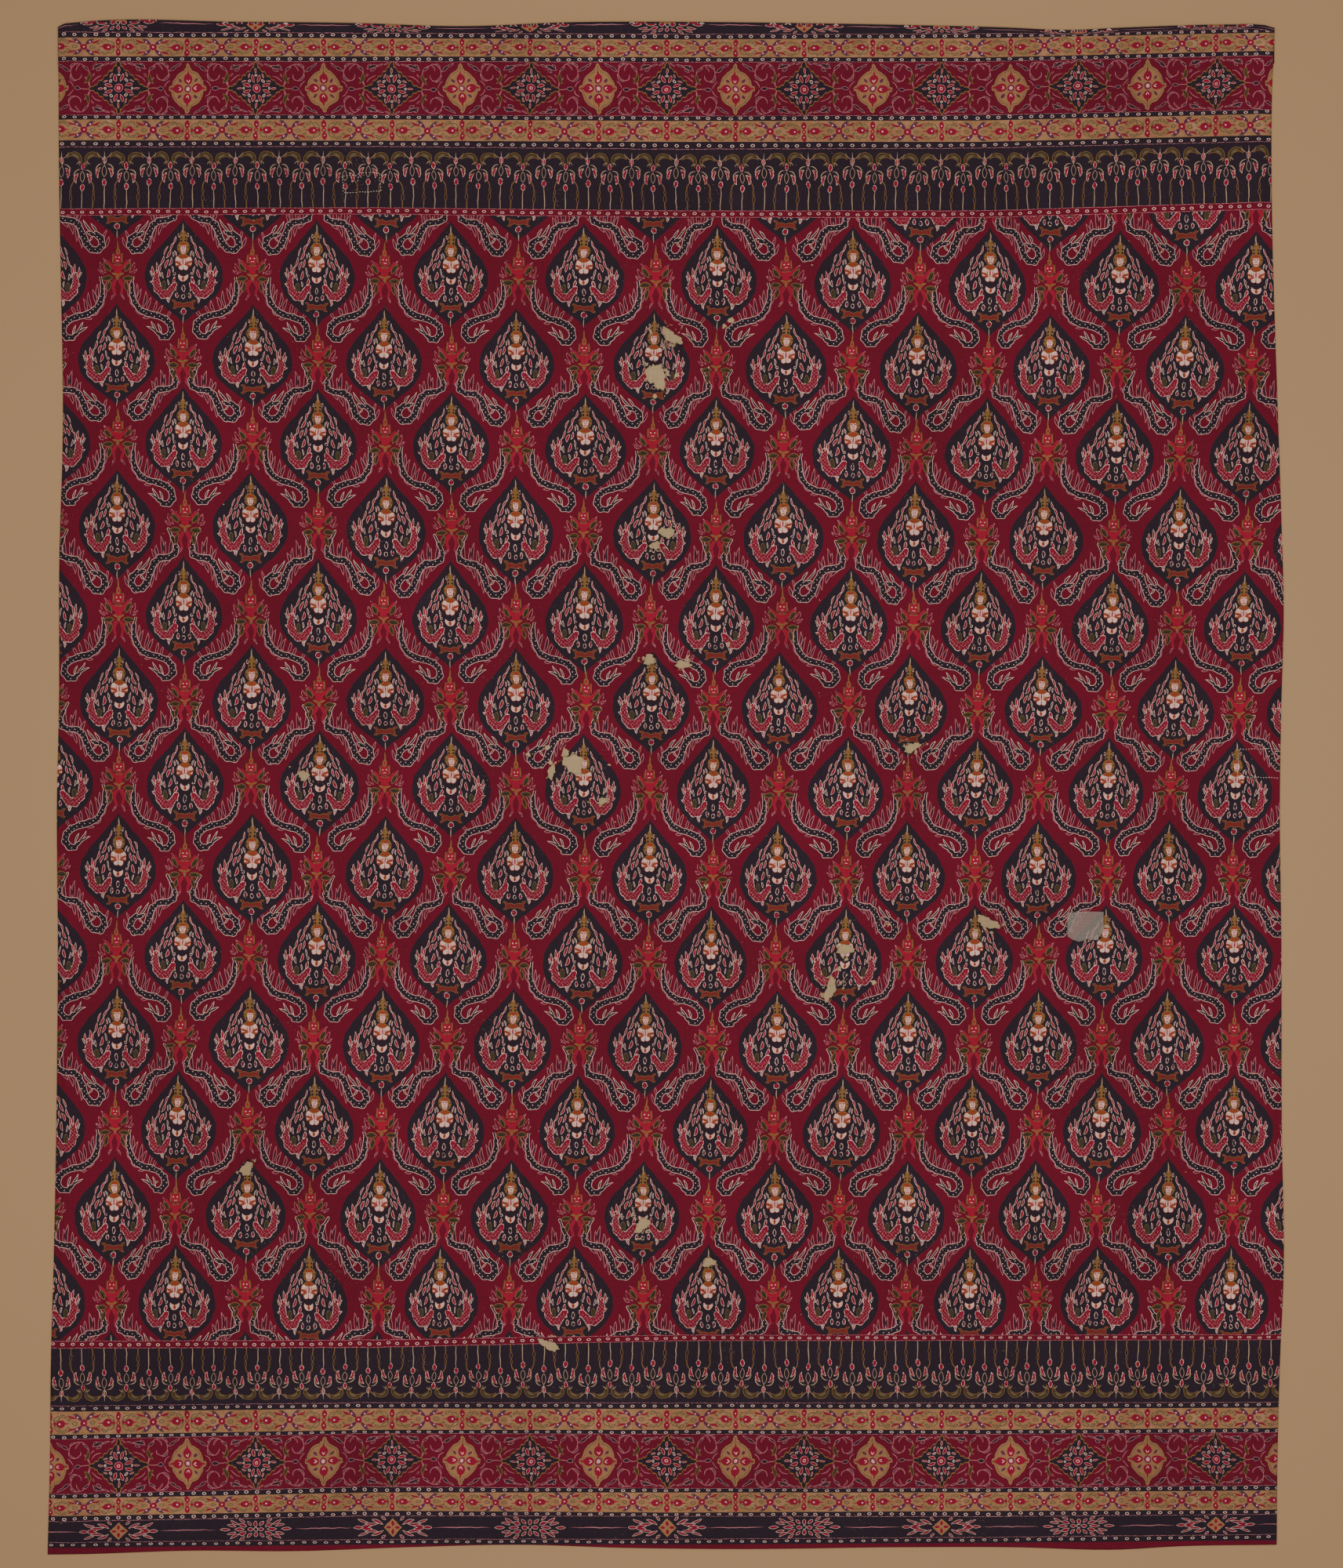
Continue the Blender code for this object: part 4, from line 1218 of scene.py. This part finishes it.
class RepairSettings(bpy.types.PropertyGroup):
    stitch_pitch: bpy.props.FloatProperty(
        name="Stitch pitch", description="From one running stitch to the next", default=STITCH_PITCH,
        unit="LENGTH", subtype="DISTANCE",
    )
    thread: ink_setting("thread", "Thread", "The sewing thread of the repairs")
    net: ink_setting("net", "Net", "The sheer patch")


class StageSettings(bpy.types.PropertyGroup):
    framed: bpy.props.FloatProperty(
        name="Framed height", description="Height that the camera frames", default=1.344,
        unit="LENGTH", subtype="DISTANCE",
    )
    sky: bpy.props.FloatProperty(
        name="Room light", description="Strength of the light all round", default=0.25, min=0
    )
    floor: ink_setting("floor", "Floor", "The board under the cloth")


class OBJECT_OT_dyed_cloth(bpy.types.Operator):
    """Adds the dyed cloth with its turned edge and worn holes"""

    bl_idname = "object.dyed_cloth_add"
    bl_label = "Add Dyed Cloth"

    def execute(self, context):
        settings = context.scene.dyed_cloth
        dyes = {}
        for strip, name, draw, how in STRIPS:
            dyes[strip] = cloth_material(name, draw, how, spots=draw is field_dye)
        dyes["hem_strip"] = plain_material("crimson_strip_cotton", "crimson")
        # The cut edge of the dyed cotton, where the undyed middle of its threads shows.
        dyes["raw_edge"] = plain_material("raw_cotton_edge", "bare")
        order = list(dyes)
        rows = []
        lines = line_rows()
        for k, (kind, heights, (dye, height, low, high), count) in enumerate(lines):
            above = lines[k + 1][:2] if k + 1 < len(lines) else ("top", None)
            for i in range(count):
                share = i / count
                ends = (low + (high - low) * share, low + (high - low) * (i + 1) / count)
                strip = (order.index(dye), None if height is None else ends[0], ends[1])
                rows.append(((kind, heights), (above, share), strip, ("over", 0)))
        hem = order.index("sprays")
        turns = [[("fold", 0)], [("fold", angle) for angle in steps(0, math.pi, FOLD_STEPS)[1:]]]
        turns.append([("under", depth) for depth in steps(0, HEM_DEPTH, 3)[1:]])
        for levels, part in zip(FOLD_LEVELS, turns):
            rows += [(("top", None), (("top", None), 0), (hem, *levels), turn) for turn in part]

        def flat_place(across, row):
            (kind, heights), ((kind_above, heights_above), share), _, _ = row
            x = 0
            y = 0
            for _ in range(3):
                left, right = edge_at(LEFT_EDGE, y), edge_at(RIGHT_EDGE, y)
                x = left + (right - left) * across
                top = edge_at(TOP_EDGE, x)
                y = top if kind == "top" else min(level_at(kind, heights, x), top - LEAST_END)
                upper = top - FOLD_REACH
                if kind_above != "top":
                    upper = min(level_at(kind_above, heights_above, x), top - LEAST_END)
                y += (upper - y) * share
            return x, y

        def place(across, row):
            side = min(across, 1 - across) * 2 * HALF_WIDTH
            x, y = flat_place(across, row)
            turn, value = row[3]
            top = edge_at(TOP_EDGE, x)
            if turn == "over":
                lift = edge_lift(min(side, y - edge_at(BOTTOM_EDGE, x))) + hem_lift(top - y)
                return x, y, CLOTH_THICK / 2 + lift
            radius = (edge_lift(side) + hem_lift(0)) / 2
            if turn == "under":
                return x, top - CLOTH_THICK / 2 - radius - value, CLOTH_THICK / 2
            y = top - CLOTH_THICK / 2 + radius * math.sin(value) - radius
            return x, y, CLOTH_THICK / 2 + radius + radius * math.cos(value)

        columns = cloth_columns(settings.columns)
        cloth = grid_object("dyed_cloth", columns, rows, place, dyes.values(), CLOTH_THICK)
        outlines = []
        for x, y, width, height, turn in HOLES:
            cos, sin = math.cos(math.radians(turn)), math.sin(math.radians(turn))
            outline = hole_outline(width, height, turn)
            outlines.append([(x + cos * px - sin * py, y + sin * px + cos * py) for px, py in outline])
        low, high = BACKING_THICK / 2, BACKING_THICK + GAP + 2 * CLOTH_THICK
        cutter = raised_outlines("hole_cutter", outlines, low, high, dyes["raw_edge"])
        cut = cloth.modifiers.new("holes", "BOOLEAN")
        cut.operation = "DIFFERENCE"
        cut.solver = "EXACT"
        cut.object = cutter
        cut.material_mode = "TRANSFER"
        settled(cloth)
        bpy.data.objects.remove(cutter)
        lay_out(cloth, HEM_LINE)
        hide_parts("cloth")
        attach(cloth, "root")
        return {"FINISHED"}


class OBJECT_OT_cloth_backing(bpy.types.Operator):
    """Adds the plain backing cloth that shows in the holes"""

    bl_idname = "object.cloth_backing_add"
    bl_label = "Add Backing Cloth"

    def execute(self, context):
        settings = context.scene.cloth_backing
        # Undyed plain-weave cotton, greyed with age.
        cotton = plain_material("undyed_backing_cotton", "bare")
        width, height = 2 * HALF_WIDTH, 2 * HALF_HEIGHT
        inset, top_inset = BACKING_INSET / width, 1 - BACKING_TOP_INSET / height
        ramp = [1 - d / height for d in steps(RAMP_END, RAMP_START, 4)]
        shares = steps(BACKING_INSET / height, ramp[0], 24) + ramp[1:] + [top_inset]
        rows = [(share, None, (0, 0.0, 0.0), None) for share in shares]

        def place(across, row):
            y = HALF_HEIGHT * (2 * row[0] - 1)
            left, right = edge_at(LEFT_EDGE, y), edge_at(RIGHT_EDGE, y)
            x = left + (right - left) * across
            bottom, top = edge_at(BOTTOM_EDGE, x), edge_at(TOP_EDGE, x)
            lift = hem_lift((1 - row[0]) * height)
            return x, bottom + (top - bottom) * row[0], BACKING_THICK / 2 + lift

        columns = steps(inset, 1 - inset, settings.columns)
        backing = grid_object("backing_cloth", columns, rows, place, [cotton], BACKING_THICK)
        settled(backing)
        lay_out(backing, 1.0)
        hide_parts("backing")
        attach(backing, "root")
        return {"FINISHED"}


class OBJECT_OT_cloth_repairs(bpy.types.Operator):
    """Adds the sheer patch and the running stitches of the old repairs"""

    bl_idname = "object.cloth_repairs_add"
    bl_label = "Add Repairs"

    def execute(self, context):
        settings = context.scene.cloth_repairs
        low = BACKING_THICK + GAP + CLOTH_THICK + GAP
        # Sheer net, pale, with the dyed cloth's drawing faint under it.
        net = cloth_material("sheer_net", field_dye, ("over",), wear=False, veil="net")
        patch = raised_outlines("sheer_repair", [PATCH_CORNERS], low, low + PATCH_THICK, net)
        dye = patch.data.uv_layers.new(name="Dye")
        for loop in patch.data.loops:
            x, y, _ = patch.data.vertices[loop.vertex_index].co
            dye.data[loop.index].uv = lattice(x / MM, y / MM)
        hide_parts("sheer_patch")
        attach(patch, "root")

        # White cotton sewing thread.
        thread = plain_material("white_sewing_thread", "thread")
        shape = bmesh.new()
        level = BACKING_THICK + GAP + CLOTH_THICK
        for number, (x0, y0, x1, y1) in enumerate(STITCH_ROWS):
            start, end = Vector((x0, y0, 0)) * MM, Vector((x1, y1, 0)) * MM
            run = end - start
            count = max(1, int(run.length / settings.stitch_pitch))
            for i in range(count):
                middle = start + run * (i + 0.5) / count
                sway = 0.25 * MM * math.sin(5.1 * i + number)
                side = Vector((-run.y, run.x, 0)).normalized() * sway
                made = bmesh.ops.create_icosphere(shape, subdivisions=1, radius=1)["verts"]
                turn = math.atan2(run.y, run.x) + 0.14 * math.sin(3.3 * i + number)
                cos, sin = math.cos(turn), math.sin(turn)
                half = STITCH_LENGTH / 2 * (1 + 0.2 * math.sin(7.7 * i + 2 * number))
                for point in made:
                    px, py, pz = point.co.x * half, point.co.y * STITCH_RADIUS, point.co.z * STITCH_RADIUS
                    spot = middle + side
                    lift = level - edge_drop(spot.x)
                    point.co = (spot.x + cos * px - sin * py, spot.y + sin * px + cos * py, lift + pz)
        mesh = bpy.data.meshes.new("repair_stitches")
        shape.to_mesh(mesh)
        shape.free()
        mesh.materials.append(thread)
        mesh.uv_layers.new(name="Dye")
        stitches = bpy.data.objects.new("repair_stitches", mesh)
        context.scene.collection.objects.link(stitches)
        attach(stitches, "root")
        return {"FINISHED"}


def edge_drop(x):
    """How far the cloth has come down at this x, near its side edges."""
    side = HALF_WIDTH - abs(x)
    return (BACKING_THICK + GAP) - edge_lift(max(side, 0))


class OBJECT_OT_cloth_stage(bpy.types.Operator):
    """Adds the floor, the lights and the camera"""

    bl_idname = "object.cloth_stage_add"
    bl_label = "Add Stage"

    def execute(self, context):
        scene = context.scene
        settings = scene.cloth_stage
        # A plain pale board, matt.
        material = bpy.data.materials.new("pale_floor")
        material.use_nodes = True
        shader = material.node_tree.nodes["Principled BSDF"]
        shader.inputs["Base Color"].default_value = ink_colour("floor")
        shader.inputs["Roughness"].default_value = 0.95
        shape = bmesh.new()
        bmesh.ops.create_grid(shape, x_segments=1, y_segments=1, size=FLOOR_HALF)
        mesh = bpy.data.meshes.new("floor")
        shape.to_mesh(mesh)
        shape.free()
        mesh.materials.append(material)
        floor = bpy.data.objects.new("floor", mesh)
        scene.collection.objects.link(floor)
        for name, place, power, size in LAMPS:
            data = bpy.data.lights.new(name, "AREA")
            data.energy = power
            data.size = size
            lamp = bpy.data.objects.new(name, data)
            lamp.location = place
            lamp.rotation_euler = (-Vector(place)).to_track_quat("-Z", "Y").to_euler()
            scene.collection.objects.link(lamp)
        world = bpy.data.worlds.new("studio")
        world.use_nodes = True
        world.node_tree.nodes["Background"].inputs["Color"].default_value = (1, 1, 1, 1)
        world.node_tree.nodes["Background"].inputs["Strength"].default_value = settings.sky
        scene.world = world
        data = bpy.data.cameras.new("camera")
        data.lens = CAMERA_LENS
        data.sensor_width = CAMERA_SENSOR
        data.clip_end = CAMERA_REACH
        camera = bpy.data.objects.new("camera", data)
        camera.location = (*FRAME_MIDDLE, settings.framed * CAMERA_LENS / CAMERA_SENSOR)
        scene.collection.objects.link(camera)
        scene.camera = camera
        return {"FINISHED"}


class VIEW3D_PT_dyed_cloth(bpy.types.Panel):
    bl_label = "Dyed Cloth"
    bl_idname = "VIEW3D_PT_dyed_cloth"
    bl_space_type = "VIEW_3D"
    bl_region_type = "UI"
    bl_category = "Dyed Cloth"

    def draw(self, context):
        for operator in OPERATORS:
            self.layout.operator(operator.bl_idname)


OPERATORS = (OBJECT_OT_dyed_cloth, OBJECT_OT_cloth_repairs, OBJECT_OT_cloth_backing, OBJECT_OT_cloth_stage)
GROUPS = (
    ("dyed_cloth", DyedClothSettings),
    ("cloth_backing", BackingSettings),
    ("cloth_repairs", RepairSettings),
    ("cloth_stage", StageSettings),
)


def register():
    for cls in (*[group for _, group in GROUPS], *OPERATORS, VIEW3D_PT_dyed_cloth):
        bpy.utils.register_class(cls)
    for name, group in GROUPS:
        setattr(bpy.types.Scene, name, bpy.props.PointerProperty(type=group))


def unregister():
    for name, _ in GROUPS:
        delattr(bpy.types.Scene, name)
    for cls in (VIEW3D_PT_dyed_cloth, *reversed(OPERATORS), *[group for _, group in reversed(GROUPS)]):
        bpy.utils.unregister_class(cls)


def main():
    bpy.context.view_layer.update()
    register()
    bpy.ops.object.dyed_cloth_add()
    bpy.ops.object.cloth_repairs_add()
    bpy.ops.object.cloth_backing_add()
    bpy.ops.object.cloth_stage_add()
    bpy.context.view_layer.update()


if __name__ == "__main__":
    main()
